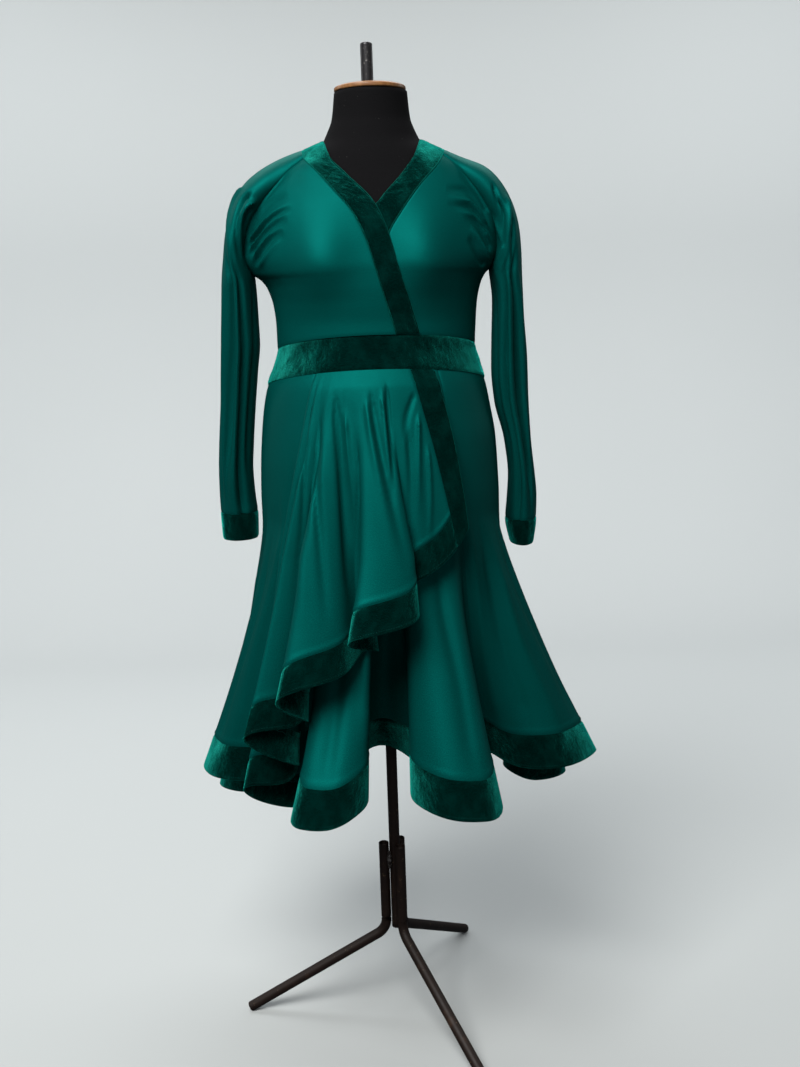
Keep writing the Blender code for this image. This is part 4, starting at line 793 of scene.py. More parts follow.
# Sleeves: raglan sleeves of the same satin with one underarm seam, a little
# wide so that they hang in long soft folds, each ended by a velvet cuff.
SLEEVE = {-1: Table("t crest_x crest_z under_x under_z deep back", [
    (0.00, 0.1120, 1.5915, 0.1085, 1.5740, 0.0400, 0.000),
    (0.06, 0.1480, 1.5800, 0.1400, 1.5510, 0.0520, 0.000),
    (0.12, 0.1840, 1.5620, 0.1640, 1.5270, 0.0600, 0.000),
    (0.18, 0.2150, 1.5370, 0.1870, 1.5010, 0.0640, 0.000),
    (0.24, 0.2360, 1.4990, 0.2045, 1.4750, 0.0650, 0.000),
    (0.30, 0.2470, 1.4600, 0.2150, 1.4440, 0.0640, 0.000),
    (0.36, 0.2530, 1.4200, 0.2170, 1.4180, 0.0620, 0.000),
    (0.41, 0.2580, 1.3870, 0.2060, 1.3950, 0.0600, 0.002),
    (0.48, 0.2630, 1.3400, 0.2040, 1.3430, 0.0560, 0.006),
    (0.56, 0.2690, 1.2850, 0.2040, 1.2850, 0.0520, 0.012),
    (0.64, 0.2745, 1.2290, 0.2110, 1.2290, 0.0480, 0.018),
    (0.72, 0.2790, 1.1730, 0.2185, 1.1730, 0.0450, 0.024),
    (0.80, 0.2860, 1.1090, 0.2260, 1.1090, 0.0430, 0.030),
    (0.88, 0.2910, 1.0500, 0.2310, 1.0500, 0.0400, 0.036),
    (0.95, 0.2925, 1.0050, 0.2300, 1.0050, 0.0380, 0.042),
    (1.00, 0.2920, 0.9780, 0.2280, 0.9780, 0.0370, 0.045),
    (1.08, 0.2905, 0.9300, 0.2300, 0.9300, 0.0360, 0.049),
]), 1: Table("t crest_x crest_z under_x under_z deep back", [
    (0.00, 0.1220, 1.5860, 0.1190, 1.5740, 0.0400, 0.000),
    (0.06, 0.1540, 1.5720, 0.1465, 1.5510, 0.0520, 0.000),
    (0.12, 0.1910, 1.5580, 0.1670, 1.5270, 0.0600, 0.000),
    (0.18, 0.2190, 1.5290, 0.1865, 1.5010, 0.0640, 0.000),
    (0.24, 0.2370, 1.4930, 0.2000, 1.4750, 0.0650, 0.000),
    (0.30, 0.2465, 1.4540, 0.2075, 1.4440, 0.0640, 0.000),
    (0.36, 0.2495, 1.4150, 0.2070, 1.4180, 0.0620, 0.000),
    (0.41, 0.2505, 1.3820, 0.1980, 1.3950, 0.0600, 0.002),
    (0.48, 0.2535, 1.3350, 0.2035, 1.3400, 0.0560, 0.006),
    (0.56, 0.2570, 1.2800, 0.2020, 1.2800, 0.0520, 0.012),
    (0.64, 0.2600, 1.2220, 0.2010, 1.2220, 0.0490, 0.018),
    (0.72, 0.2620, 1.1640, 0.2060, 1.1640, 0.0460, 0.024),
    (0.80, 0.2660, 1.0950, 0.2230, 1.0950, 0.0440, 0.030),
    (0.88, 0.2730, 1.0300, 0.2300, 1.0300, 0.0430, 0.036),
    (0.95, 0.2775, 0.9830, 0.2275, 0.9830, 0.0430, 0.040),
    (1.00, 0.2780, 0.9500, 0.2250, 0.9500, 0.0430, 0.043),
    (1.08, 0.2715, 0.9050, 0.2330, 0.9050, 0.0420, 0.046),
])}

# Soft folds that run down a hanging sleeve: angle from the crest, width, depth
SLEEVE_FOLDS = [(-1.15, 0.26, -0.13), (-0.35, 0.30, -0.08), (0.60, 0.32, -0.09), (1.60, 0.30, -0.10)]


def sleeve_folds(a, t):
    grow = clip((t - 0.42) / 0.2) * np.clip((1.12 - t) / 0.2, 0.25, 1)
    total = np.zeros(np.broadcast(a, t).shape)
    for place, wide, depth in SLEEVE_FOLDS:
        drift = 0.15 * np.sin(3.1 * t + 2.0 * place)
        total = total + depth * hump(a - place - drift, wide)
    return total * grow


def sleeve_point(side, q, t):
    """Point of a sleeve: q runs round it from its front seam over the crest to its back seam."""
    table = SLEEVE[side]
    crest_x, crest_z = table.at("crest_x", t), table.at("crest_z", t)
    under_x, under_z = table.at("under_x", t), table.at("under_z", t)
    on_body = under_z >= ARMPIT
    height = np.clip(under_z, ARMPIT, RAGLAN_TOP)
    seam_front = body(raglan(height, side, -1), height)
    seam_back = body(raglan(height, side, 1), height)
    half = np.where(on_body, (seam_back[..., 1] - seam_front[..., 1]) / 2, 0.0)
    middle = np.where(on_body, (seam_back[..., 1] + seam_front[..., 1]) / 2, 0.0)
    under_x = np.where(on_body, np.abs(seam_front[..., 0]), under_x)
    deep = np.maximum(table.at("deep", t), half + 1e-5)
    wrap = np.arccos(clip(half / deep))
    reach_x = (crest_x - under_x) / (1 + np.sin(wrap))
    reach_z = (crest_z - under_z) / (1 + np.sin(wrap))
    a = (q * 2 - 1) * (math.pi / 2 + wrap)
    fold = 1 + sleeve_folds(a, t)
    x = crest_x - reach_x + reach_x * np.cos(a) * fold
    y = middle + table.at("back", t) + deep * np.sin(a) * fold
    z = crest_z - reach_z + reach_z * np.cos(a)
    return np.stack([side * x, y, z], axis=-1)


def sleeve_normal(side, q, t):
    def surface(a, b):
        return sleeve_point(side, a, b)
    inside = (surface(0.5 + 0 * q, t) + surface(0.02 + 0 * q, t) + surface(0.98 + 0 * q, t)) / 3
    q_in = np.clip(q, 0.01, 0.99)
    return normals(surface, q_in, t, surface(q_in, t) - inside)


def station(side, height):
    """Place along a sleeve where its seam is at the given height."""
    t = np.linspace(0, 0.41, 400)
    return np.interp(-height, -SLEEVE[side].at("under_z", t), t)


# Long folds down the sleeves: the side, place round it from the crest, where they begin and end,
# how far they drift, half width and height; negative ones are troughs
LONG_FOLDS = Table("side a t0 t1 drift wide high", [
    (-1, -1.46, 0.30, 1.12, 0.04, 0.0062, -0.0105),
    (-1, -1.22, 0.36, 1.06, 0.02, 0.0060, 0.0040),
    (-1, -0.92, 0.30, 0.90, -0.16, 0.0060, -0.0090),
    (-1, -0.62, 0.34, 0.98, -0.06, 0.0060, 0.0040),
    (-1, -0.34, 0.40, 1.05, -0.12, 0.0066, -0.0072),
    (-1, -1.98, 0.40, 0.92, 0.10, 0.0060, -0.0050),
    (-1, 0.25, 0.36, 1.00, 0.10, 0.0085, -0.0056),
    (-1, 0.70, 0.40, 1.00, 0.20, 0.0090, 0.0045),
    (-1, 1.10, 0.34, 0.95, 0.10, 0.0085, -0.0060),
    (-1, 1.60, 0.38, 0.98, -0.15, 0.0090, 0.0048),
    (-1, 1.95, 0.36, 1.04, -0.08, 0.0070, -0.0058),
    (1, -1.52, 0.30, 1.10, 0.10, 0.0060, -0.0095),
    (1, -1.24, 0.34, 1.00, 0.06, 0.0058, 0.0042),
    (1, -0.98, 0.30, 0.96, 0.14, 0.0062, -0.0098),
    (1, -0.68, 0.36, 1.02, 0.06, 0.0056, 0.0042),
    (1, -0.42, 0.38, 1.04, 0.10, 0.0062, -0.0084),
    (1, -0.12, 0.50, 1.02, 0.08, 0.0060, 0.0034),
    (1, -1.98, 0.42, 0.90, 0.06, 0.0060, -0.0050),
    (1, 0.20, 0.40, 1.00, 0.10, 0.0085, -0.0054),
    (1, 0.66, 0.36, 0.96, -0.18, 0.0090, 0.0044),
    (1, 1.14, 0.40, 1.00, 0.10, 0.0085, -0.0060),
    (1, 1.62, 0.34, 0.94, 0.12, 0.0090, 0.0046),
    (1, 1.96, 0.36, 1.02, 0.06, 0.0070, -0.0056),
])
# Short puckers where the sleeve turns over the shoulder's end, as bent lines through four places
# round the sleeve (q) and along it (t), with their half width and height
PUCKERS = Table("side q1 t1 q2 t2 q3 t3 q4 t4 wide high", [
    (-1, 0.150, 0.170, 0.220, 0.203, 0.170, 0.262, 0.077, 0.390, 0.0052, -0.0072),
    (-1, 0.030, 0.192, 0.092, 0.230, 0.045, 0.290, 0.040, 0.390, 0.0046, -0.0066),
    (-1, 0.020, 0.170, 0.146, 0.220, 0.100, 0.298, 0.050, 0.380, 0.0046, 0.0060),
    (-1, 0.300, 0.172, 0.380, 0.220, 0.300, 0.290, 0.200, 0.390, 0.0062, 0.0046),
    (1, 0.174, 0.200, 0.162, 0.237, 0.125, 0.268, 0.100, 0.325, 0.0044, -0.0070),
    (1, 0.230, 0.160, 0.160, 0.198, 0.092, 0.237, 0.060, 0.275, 0.0046, -0.0048),
    (1, 0.015, 0.225, 0.035, 0.268, 0.075, 0.300, 0.115, 0.352, 0.0056, 0.0040),
    (1, 0.135, 0.330, 0.112, 0.370, 0.112, 0.410, 0.160, 0.470, 0.0056, 0.0036),
    (1, 0.303, 0.240, 0.240, 0.327, 0.245, 0.390, 0.259, 0.460, 0.0050, -0.0062),
    (1, 0.330, 0.200, 0.215, 0.275, 0.180, 0.355, 0.211, 0.440, 0.0052, 0.0044),
])


def sleeve_relief(side, q, t, point):
    """Height of a sleeve's folds over its smooth form."""
    total = np.zeros(point.shape[:-1])
    round_it, _ = lengths(point)
    turn = math.pi * 1.5
    a_all = (q - 0.5) * turn
    for a, t0, t1, drift, wide, high in LONG_FOLDS.of(side):
        share = clip((t - t0) / (t1 - t0))
        place = a + drift * share + 0.05 * np.sin(7 * t + 5 * a)
        gap = (a_all - place) / turn * round_it[-1:] / (wide * (0.75 + 0.5 * share))
        total += high * soft_step(share * 4) * soft_step((1 - share) * 4) * hump(gap, 1)
    for *places, wide, high in PUCKERS.of(side):
        in_front = np.reshape(places, (4, 2))
        behind = in_front * (-0.93, 1) + (0.985, 0.018)
        for line, share in ((in_front, 1.0), (behind, 0.8)):
            total += fold_along(point, sleeve_point(side, *bent(line).T), wide, high * share)
    return total


def sleeve_grid(side, columns, t):
    """Grid of a sleeve with its seam edges kept and the turn at the armpit eased."""
    q, t = np.meshgrid(close(columns, 0.25), t, indexing="ij")
    point, normal = sleeve_point(side, q, t), sleeve_normal(side, q, t)
    loose = clip(np.minimum(q, 1 - q) * 10)[:, 1:-1, None]
    for _ in range(9):
        normal[:, 1:-1] = unit(normal[:, :-2] + normal[:, 1:-1] * 2 + normal[:, 2:])
        point[:, 1:-1] += loose * ((point[:, :-2] + point[:, 2:]) / 2 - point[:, 1:-1]) / 2
    return q, t, point, normal


def sleeve(side):
    seam_t = station(side, np.linspace(RAGLAN_TOP, ARMPIT, 56))
    arm_t = np.linspace(seam_t[-1], 1.0, 118)[1:]
    q, t, point, normal = sleeve_grid(side, 112, np.concatenate([seam_t, arm_t]))
    inside = clip(np.minimum(q, 1 - q) * 14)
    off = EASE + SATIN + sleeve_relief(side, q, t, point) * inside
    off = off - seam_edges(point, ("first", "last", "top", "low"))
    node = "sleeve_" + NAMES[side]
    return sewn(node + "_satin", node, point, normal, off, satin)


for side in NAMES:
    sleeve(side)


def velvet_finish(name, least, most, share):
    """Crushed stretch velvet: near black, its nap shown with a real sheen and a painted sheen where it
    turns from the eye.
    """
    material, shader, place = finish(name, "UV", Roughness=0.9, Specular_IOR_Level=0.0, Sheen_Weight=1.0,
                                     Sheen_Roughness=0.30, Sheen_Tint=(0.02, 0.95, 0.78, 1))
    nap = place.noise(1500.0, 2.0, 0.7, (1.0, 0.35, 1.0))
    crush = place.noise(75.0, 5.0, 0.65, (1.0, 0.55, 1.0))
    lay = place.noise(20.0, 3.0, 0.6)
    patch = (crush * 0.5 + lay * 0.5).between(0.42, 0.66)
    tone = patch.mix((0.0001, 0.0040, 0.0032, 1), (0.0003, 0.016, 0.013, 1))
    relief = nap.bump(0.0003, 0.9, (crush * 0.5 + lay * 0.9).bump(0.0045, 0.8))
    feed(shader, Base_Color=nap.between(0.45, 0.72).mix(tone, (0.0006, 0.034, 0.028, 1)), Normal=relief)
    # Painted sheen: a plain bright green shader mixed over the velvet where its face turns from the eye, in
    # patches of the nap
    painted_sheen_colour = nap.between(0.35, 0.70).mix((0.003, 0.16, 0.125, 1), (0.020, 0.48, 0.38, 1))
    painted_sheen_shader = place.add("ShaderNodeBsdfPrincipled", {}, {"Roughness": 1.0, "Specular IOR Level": 0.0,
                                                        "Normal": relief, "Base Color": painted_sheen_colour})
    lean = place.add("ShaderNodeLayerWeight", {}, {"Blend": 0.5, "Normal": relief}, 1).between(least, most)
    painted_sheen_mask = lean * (patch * share + nap.between(0.35, 0.65) * share)
    flat = Wire(place.tree, shader.outputs[0])
    both = place.add("ShaderNodeMixShader", {}, {0: painted_sheen_mask, 1: flat, 2: painted_sheen_shader})
    place.tree.links.new(both.socket, place.tree.nodes["Material Output"].inputs["Surface"])
    return material


# One velvet in three copies that differ only in how much painted sheen they mix in: a weaker one for the
# cuffs and the overskirt's edge, and the hem one for the hem bands and rolled hem edges
velvet = velvet_finish("emerald_velvet", 0.08, 0.52, 0.56)
velvet_weak_painted_sheen = velvet_finish("emerald_velvet_weak_painted_sheen", 0.25, 0.85, 0.24)
hem_velvet = velvet_finish("emerald_velvet_hem", 0.15, 0.66, 0.80)


def cuff(side):
    """A cuff and the line of its free edge."""
    q, t, point, normal = sleeve_grid(side, 100, np.linspace(1.0, 1.08, 22))
    off = EASE + VELVET + sleeve_relief(side, q, t, point) * 0.5
    off = off - seam_edges(point, ("first", "last", "top"), 0.0010)
    off = off - seam_edges(point, ("low",), 0.0007, 0.0012)
    node = "cuff_" + NAMES[side]
    piece = sewn(node + "_velvet", node, point, normal, off, velvet_weak_painted_sheen)
    return piece, point[:, -1] + normal[:, -1] * (off[:, -1:] - VELVET * 0.5)


cuff_ends = []
for side in NAMES:
    piece, end = cuff(side)
    cuff_ends.append(end)
    "sleeve_" + NAMES[side] + "_satin"


# Neckbands: folded velvet bands sewn round the neckline, 37 mm wide. The right
# one laps over and runs on to the waistband, the left one goes in under it.
LEFT_BAND_END, NECK_BACK_Z = 0.61, 1.600


def neck_line(side, front, over, back):
    """Outer edge of a neckband and the way its face looks there, for places on its three runs.

    The runs are the front up to the shoulder (by e), the top of the sleeve (by
    q) and the back to its middle (by s).
    """
    z = NECK_EDGE[side].at("out_z", front)
    u = angle_at(NECK_EDGE[side].at("out_x", front), z, -1)
    u_start, u_end = raglan(RAGLAN_TOP, 1, 1), raglan(RAGLAN_TOP, -1, 1)
    u_back = u_start + (u_end - u_start) * (back if side > 0 else 1 - back)
    z_back = RAGLAN_TOP - BACK_NECK_DIP * np.sin(math.pi * back)
    points = np.concatenate([body(u, z), sleeve_point(side, over, 0.0 * over), body(u_back, z_back)])
    lean = np.concatenate([body_normal(u, z), sleeve_normal(side, over, 0.0 * over + 0.002),
                           body_normal(u_back, z_back)])
    for _ in range(40):
        lean[1:-1] = unit(lean[:-2] + lean[1:-1] * 2 + lean[2:])
    for _ in range(6):
        points[1:-1] = (points[:-2] + points[1:-1] * 2 + points[2:]) / 4
    return points, lean


def neckband(side):
    """A neckband, the line of its free edge and that of its seam."""
    edge = NECK_EDGE[side]
    last = 1.0 if side < 0 else LEFT_BAND_END
    front = np.linspace(last, 0.0, 130 if side < 0 else 84)
    over, back = np.linspace(0, 1, 20)[1:], np.linspace(0, 0.5, 36)[1:]
    a, na = neck_line(side, front, over, back)
    z_in = edge.at("in_z", front)
    u_in = angle_at(edge.at("in_x", front), z_in, -1)
    turn = np.linspace(0, 1, len(a) - len(front) + 1)[1:]
    stop = -1.5 * math.pi if side < 0 else 0.5 * math.pi
    in_u = np.concatenate([u_in, u_in[-1] + (stop - u_in[-1]) * turn])
    in_z = np.concatenate([z_in, z_in[-1] + (NECK_BACK_Z - z_in[-1]) * turn])
    b, nb = body(in_u, in_z), body_normal(in_u, in_z)
    s = close(16, 0.5)[:, None, None]
    middle = a + (b - a) * s
    z_out = edge.at("out_z", front)
    mid_u = (angle_at(edge.at("out_x", front), z_out, -1) + u_in) / 2
    bow = body(mid_u, (z_out + z_in) / 2) - (a + b)[:len(front)] / 2
    middle[:, :len(front)] += bow * 4 * s * (1 - s)
    normal = unit(na + (nb - na) * s)
    rise = lap(middle[..., 2]) if side < 0 else 0.0
    crush = 0.0007 * crushed(middle, 0.012, 3 + side) * np.sin(math.pi * s[..., 0])
    off = EASE + (LAP - EASE) * rise + VELVET + crush
    off = off - seam_edges(middle, ("first", "top" if side < 0 else "low"), 0.0010)
    off = off - seam_edges(middle, ("last",), 0.0009, 0.0014)
    node = "neckband_" + NAMES[side]
    piece = sewn(node + "_velvet", node, middle, normal, off, velvet)
    line = middle[-1] + normal[-1] * (off[-1] - VELVET * 0.3)[:, None]
    seam = middle[0] + normal[0] * (off[0] + 0.0004)[:, None]
    return piece, line, seam


neck_edges, neck_seams = [], []
for side, flat in ((-1, (0.52, 0.037)), (1, (0.37, 0.037))):
    piece, edge, seam = neckband(side)
    neck_edges.append(edge)
    neck_seams.append(seam)


# Waistband: a shaped velvet band round the waist, cut in one length with a seam
# at each side, which rises a little over the front.
def waistband(columns, rows):
    u, t = np.meshgrid(np.linspace(-math.pi, math.pi, columns, endpoint=False), close(rows), indexing="ij")
    z = waist(u, True) + (waist(u, False) - waist(u, True)) * t
    point, normal = body(u, z), body_normal(u, z)
    middle = np.sin(math.pi * t)
    crush = 0.0013 * crushed(point, 0.021, 7)
    side_seam = -0.0012 * sum(hump(np.angle(np.exp(1j * (u - k))), 0.012) for k in (0.06, math.pi - 0.06))
    off = EASE + VELVET + 0.0006 * middle + (crush + side_seam) * middle
    off = off - seam_edges(point, ("top", "low"), 0.0010, 0.0020)
    return sewn("waistband_velvet", "waistband", point, normal, off, velvet, ring=True)


waistband(300, 22)


# Skirt: four flared satin panels that fall in nine flutes, short in front and
# longer behind, each ended by a 63 mm velvet band that holds the flutes open.
SKIRT_BAND = 0.063
FLUTES = 9
HEM = Table("place x y z apex", [
    (0.00, -0.104, -0.115, 0.556, 0.940),
    (0.25, -0.156, -0.296, 0.518, 0.820),
    (0.50, -0.103, -0.306, 0.518, 0.820),
    (0.72, -0.045, -0.262, 0.535, 0.840),
    (0.86, -0.068, -0.110, 0.548, 0.900),
    (1.00, -0.015, -0.040, 0.553, 0.930),
    (1.14, 0.042, -0.092, 0.540, 0.930),
    (1.30, 0.036, -0.245, 0.532, 0.920),
    (1.50, 0.098, -0.302, 0.524, 0.920),
    (1.75, 0.160, -0.293, 0.517, 0.935),
    (2.00, 0.165, -0.055, 0.545, 0.980),
    (2.25, 0.224, -0.083, 0.520, 0.980),
    (2.50, 0.305, -0.096, 0.520, 0.980),
    (2.75, 0.378, -0.022, 0.520, 0.978),
    (3.00, 0.212, 0.040, 0.470, 0.978),
    (3.25, 0.268, 0.058, 0.430, 0.970),
    (3.50, 0.338, 0.092, 0.430, 0.970),
    (3.75, 0.320, 0.150, 0.430, 0.970),
    (4.00, 0.200, 0.150, 0.450, 0.970),
    (4.25, 0.252, 0.215, 0.422, 0.970),
    (4.50, 0.215, 0.285, 0.422, 0.970),
    (4.75, 0.145, 0.300, 0.422, 0.970),
    (5.00, 0.085, 0.200, 0.445, 0.970),
    (5.25, 0.066, 0.300, 0.420, 0.970),
    (5.50, 0.000, 0.325, 0.420, 0.970),
    (5.75, -0.066, 0.300, 0.420, 0.970),
    (6.00, -0.085, 0.200, 0.445, 0.970),
    (6.25, -0.142, 0.303, 0.422, 0.970),
    (6.50, -0.212, 0.282, 0.422, 0.970),
    (6.75, -0.250, 0.212, 0.422, 0.970),
    (7.00, -0.195, 0.150, 0.450, 0.970),
    (7.25, -0.312, 0.152, 0.430, 0.970),
    (7.50, -0.334, 0.092, 0.430, 0.970),
    (7.75, -0.272, 0.056, 0.430, 0.973),
    (8.00, -0.208, 0.035, 0.500, 0.980),
    (8.25, -0.343, -0.018, 0.520, 0.980),
    (8.50, -0.322, -0.074, 0.520, 0.980),
    (8.75, -0.243, -0.103, 0.520, 0.940),
])
WAIST_AT = Table("flute turn drift", [
    (-1.00, -160.0, -4.0),
    (-0.25, -131.0, -7.0),
    (0.00, -124.0, -9.6),
    (0.25, -114.0, 0.0),
    (1.00, -90.0, 0.0),
    (2.00, -56.0, 6.0),
    (3.00, -12.0, 4.0),
    (4.00, 30.0, 0.0),
    (5.50, 90.0, 0.0),
    (7.00, 150.0, 0.0),
    (8.00, 200.0, -4.0),
    (8.75, 229.0, -7.0),
    (9.00, 236.0, -9.6),
    (9.25, 246.0, 0.0),
    (10.00, 270.0, 0.0),
])
FLARE = 1.2
SKIRT_FALL = 0.297
ROUNDING = 0.6


def spline(knots, values, place):
    """Smooth curve through points at knots, rounded where it turns back on itself."""
    leap = np.diff(values, axis=0)
    length = np.linalg.norm(leap[:, :3], axis=1, keepdims=True)
    way = leap / length
    tangent = np.concatenate([way[:1], np.zeros_like(values[1:-1]), way[-1:]])
    tangent[1:-1] = (way[:-1] * length[1:] + way[1:] * length[:-1]) / (length[1:] + length[:-1])
    tangent /= np.maximum(np.linalg.norm(tangent[:, :3], axis=1, keepdims=True), 0.05) ** ROUNDING
    row = np.clip(np.searchsorted(knots, place, side="right") - 1, 0, len(knots) - 2)
    t = ((place - knots[row]) / (knots[row + 1] - knots[row]))[..., None]
    return curve_between(values, tangent, row, t, length[row])


def hem_curve():
    """Knots and points (x, y, z, apex) of the hem, once round with both ends lapped."""
    knots, values = HEM.rows[:, 0], HEM.rows[:, 1:]
    lapped = np.concatenate([knots[-4:] - FLUTES, knots, knots[:5] + FLUTES])
    return lapped, np.concatenate([values[-4:], values, values[:5]])


HEM_KNOTS, HEM_VALUES = hem_curve()


def skirt_point(s, t):
    """Point of the skirt: s counts flutes round it, t runs from the waist seam to the hem."""
    s, t = np.broadcast_arrays(np.asarray(s, float), np.asarray(t, float))
    hem = spline(HEM_KNOTS, HEM_VALUES, s)
    turn, drift = np.radians(WAIST_AT.at("turn", s)), np.radians(WAIST_AT.at("drift", s))
    top = waist(turn, False)
    z = top + (hem[..., 2] - top) * t
    u = turn + drift * clip((top - z) / SKIRT_FALL)
    on_body = body(u, z)
    below = body(turn + drift, hem[..., 2])
    apex = hem[..., 3]
    out = np.clip((apex - z) / (apex - hem[..., 2]), 0, 1.2) ** FLARE
    point = on_body + out[..., None] * (hem[..., :3] - below)
    point[..., 2] = z
    return point


def grid_normals(point, way=1):
    """Normals of a grid from its own neighbours, outward where its columns run right (way 1)."""
    return unit(np.cross(np.gradient(point, axis=1), np.gradient(point, axis=0))) * way


def band_start(surface, s, wide):
    """Place t on each line down the surface where its last part, wide long, begins."""
    t = np.linspace(0.4, 1, 121)
    line = surface(s[:, None], t[None, :])
    step = np.linalg.norm(np.diff(line, axis=1), axis=-1)
    left = np.concatenate([np.cumsum(step[:, ::-1], axis=1)[:, ::-1], np.zeros((len(s), 1))], axis=1)
    return np.array([np.interp(-wide, -row, t) for row in left])


# Soft folds of the skirt: place on the hem by flutes, at the top and at the foot of the fold, the
# heights of both, half width there, and height of the relief
SKIRT_FOLDS = Table("s_top s_low z_top z_low wide high", [
    (0.30, 0.42, 0.98, 0.60, 0.011, -0.0045),
    (0.78, 0.70, 0.90, 0.66, 0.012, 0.0040),
    (1.20, 1.12, 1.02, 0.64, 0.012, -0.0040),
    (1.62, 1.70, 0.95, 0.62, 0.012, -0.0045),
    (2.10, 2.16, 1.05, 0.62, 0.010, 0.0035),
    (2.30, 2.36, 1.00, 0.62, 0.012, -0.0055),
    (2.46, 2.54, 0.96, 0.60, 0.011, 0.0045),
    (2.66, 2.70, 1.00, 0.62, 0.012, -0.0050),
    (2.86, 2.90, 0.90, 0.62, 0.011, 0.0040),
    (3.25, 3.30, 1.02, 0.52, 0.013, -0.0055),
    (3.60, 3.66, 0.98, 0.50, 0.013, 0.0045),
    (4.28, 4.34, 1.00, 0.50, 0.013, -0.0055),
    (4.66, 4.60, 1.04, 0.50, 0.012, 0.0045),
    (5.20, 5.26, 1.02, 0.50, 0.013, -0.0055),
    (5.55, 5.48, 0.98, 0.50, 0.013, 0.0045),
    (5.86, 5.80, 1.04, 0.50, 0.012, -0.0045),
    (6.30, 6.36, 1.00, 0.50, 0.013, -0.0055),
    (6.68, 6.62, 1.02, 0.50, 0.012, 0.0045),
    (7.22, 7.30, 1.04, 0.52, 0.013, -0.0055),
    (7.55, 7.50, 0.98, 0.52, 0.012, 0.0045),
    (7.84, 7.80, 1.00, 0.56, 0.011, -0.0045),
    (8.14, 8.20, 1.04, 0.62, 0.010, 0.0040),
    (8.34, 8.40, 0.98, 0.60, 0.011, -0.0055),
    (8.55, 8.56, 1.06, 0.62, 0.010, 0.0045),
    (8.74, 8.72, 1.12, 0.66, 0.009, -0.0050),
])


def skirt_folds(s, point):
    """Height of the skirt's soft folds, which widen towards the hem."""
    total = np.zeros(s.shape)
    across, _ = lengths(point)
    for s_top, s_low, z_top, z_low, wide, high in SKIRT_FOLDS.rows:
        share = np.clip((z_top - point[..., 2]) / (z_top - z_low), 0, 1.15)
        place = s_top + (s_low - s_top) * share + 0.012 * np.sin(9 * share + 5 * s_top)
        here = np.stack([np.interp(place[:, j], s[:, j], across[:, j]) for j in range(s.shape[1])], axis=1)
        gap = (across - here) / (wide * (0.55 + 0.75 * share))
        grow = clip(share * 3.5) ** 1.5 * clip((1.15 - share) * 5)
        total += high * grow * hump(gap, 1)
    return total


ROLL, ROLL_AWAY, ROLL_WIDE, DIP_WIDE = 0.0011, 0.0065, 0.0045, 0.0018
PANEL_SEAM, FREE_EDGE = (0.0009, 0.0020), (0.0006, 0.0012)
TUCK = 0.0003


def draped(surface, s, wide, rows, band_rows, folds, way=1):
    """Grid of a skirt's satin and band on one surface, with its folds.

    It gives the points, their normals, their distances from the band's seam
    and the row of that seam.
    """
    start = band_start(surface, s, wide)[:, None]
    satin_t = start * np.linspace(0, 1, rows) ** 0.9
    t = np.concatenate([satin_t, start + (1 - start) * close(band_rows)[1:]], axis=1)
    column = s[:, None] + 0 * t
    base = surface(column, t)
    for _ in range(2):
        base[1:-1] = (base[:-2] + base[1:-1] * 2 + base[2:]) / 4
    normal = grid_normals(base, way)
    _, down = lengths(base)
    seam = down[:, rows - 1:rows]
    away = np.abs(down - seam)
    high = folds(column, base) * clip(down / 0.03) - 0.0008 * hump(down, 0.0022)
    return base + normal * high[..., None], normal, away, rows - 1


def split_bands(grid, first, last, names, nodes):
    """Makes the satin panel and its velvet band from the columns first to last of a draped grid."""
    point, normal, away = (part[first:last + 1] for part in grid[:3])
    seam = grid[3]
    part, facing, gap = point[:, :seam + 1], normal[:, :seam + 1], away[:, :seam + 1]
    high = SATIN + ROLL * hump(gap - ROLL_AWAY, ROLL_WIDE) - ROLL * hump(gap, DIP_WIDE)
    high = high - seam_edges(part + facing * high[..., None], ("first", "last"), *PANEL_SEAM)
    panel = sewn(names[0], nodes[0], part, facing, high, satin)
    part = point[:, seam:]
    high = VELVET - ROLL * hump(away[:, seam:], DIP_WIDE)
    high = high - seam_edges(part, ("first", "last"), *PANEL_SEAM) - seam_edges(part, ("low",), *FREE_EDGE)
    high = np.concatenate([np.full((len(high), 1), -TUCK), high], axis=1)
    return panel, sewn(names[1], nodes[1], point[:, seam - 1:], normal[:, seam - 1:], high, hem_velvet)


# Panels: first and last flute, the satin's flat size and area, the band's flat size
PANELS = {
    "front": (0, 2, (0.62, 0.56), 0.245, (1.00, 0.067)),
    "left": (2, 4, (0.60, 0.62), 0.215, (0.70, 0.067)),
    "back": (4, 7, (0.92, 0.66), 0.365, (0.98, 0.067)),
    "right": (7, 9, (0.60, 0.62), 0.215, (0.72, 0.067)),
}
FLUTE_COLUMNS = 60
skirt_s = np.linspace(0, FLUTES, FLUTES * FLUTE_COLUMNS + 1)
skirt_grid = draped(skirt_point, skirt_s, SKIRT_BAND, 100, 20, skirt_folds)
for name, (first, last, flat, area, band_flat) in PANELS.items():
    panel, band = split_bands(skirt_grid, first * FLUTE_COLUMNS, last * FLUTE_COLUMNS,
                              ("panel_" + name, "hem_band_" + name), ("skirt_" + name, "hem_" + name))


# Overskirt: a wrap piece of satin from the waist whose slanting hem falls in a
# cascade of four flutes, with a velvet band down its straight edge and round its hem.
OVERSKIRT_BAND = 0.050
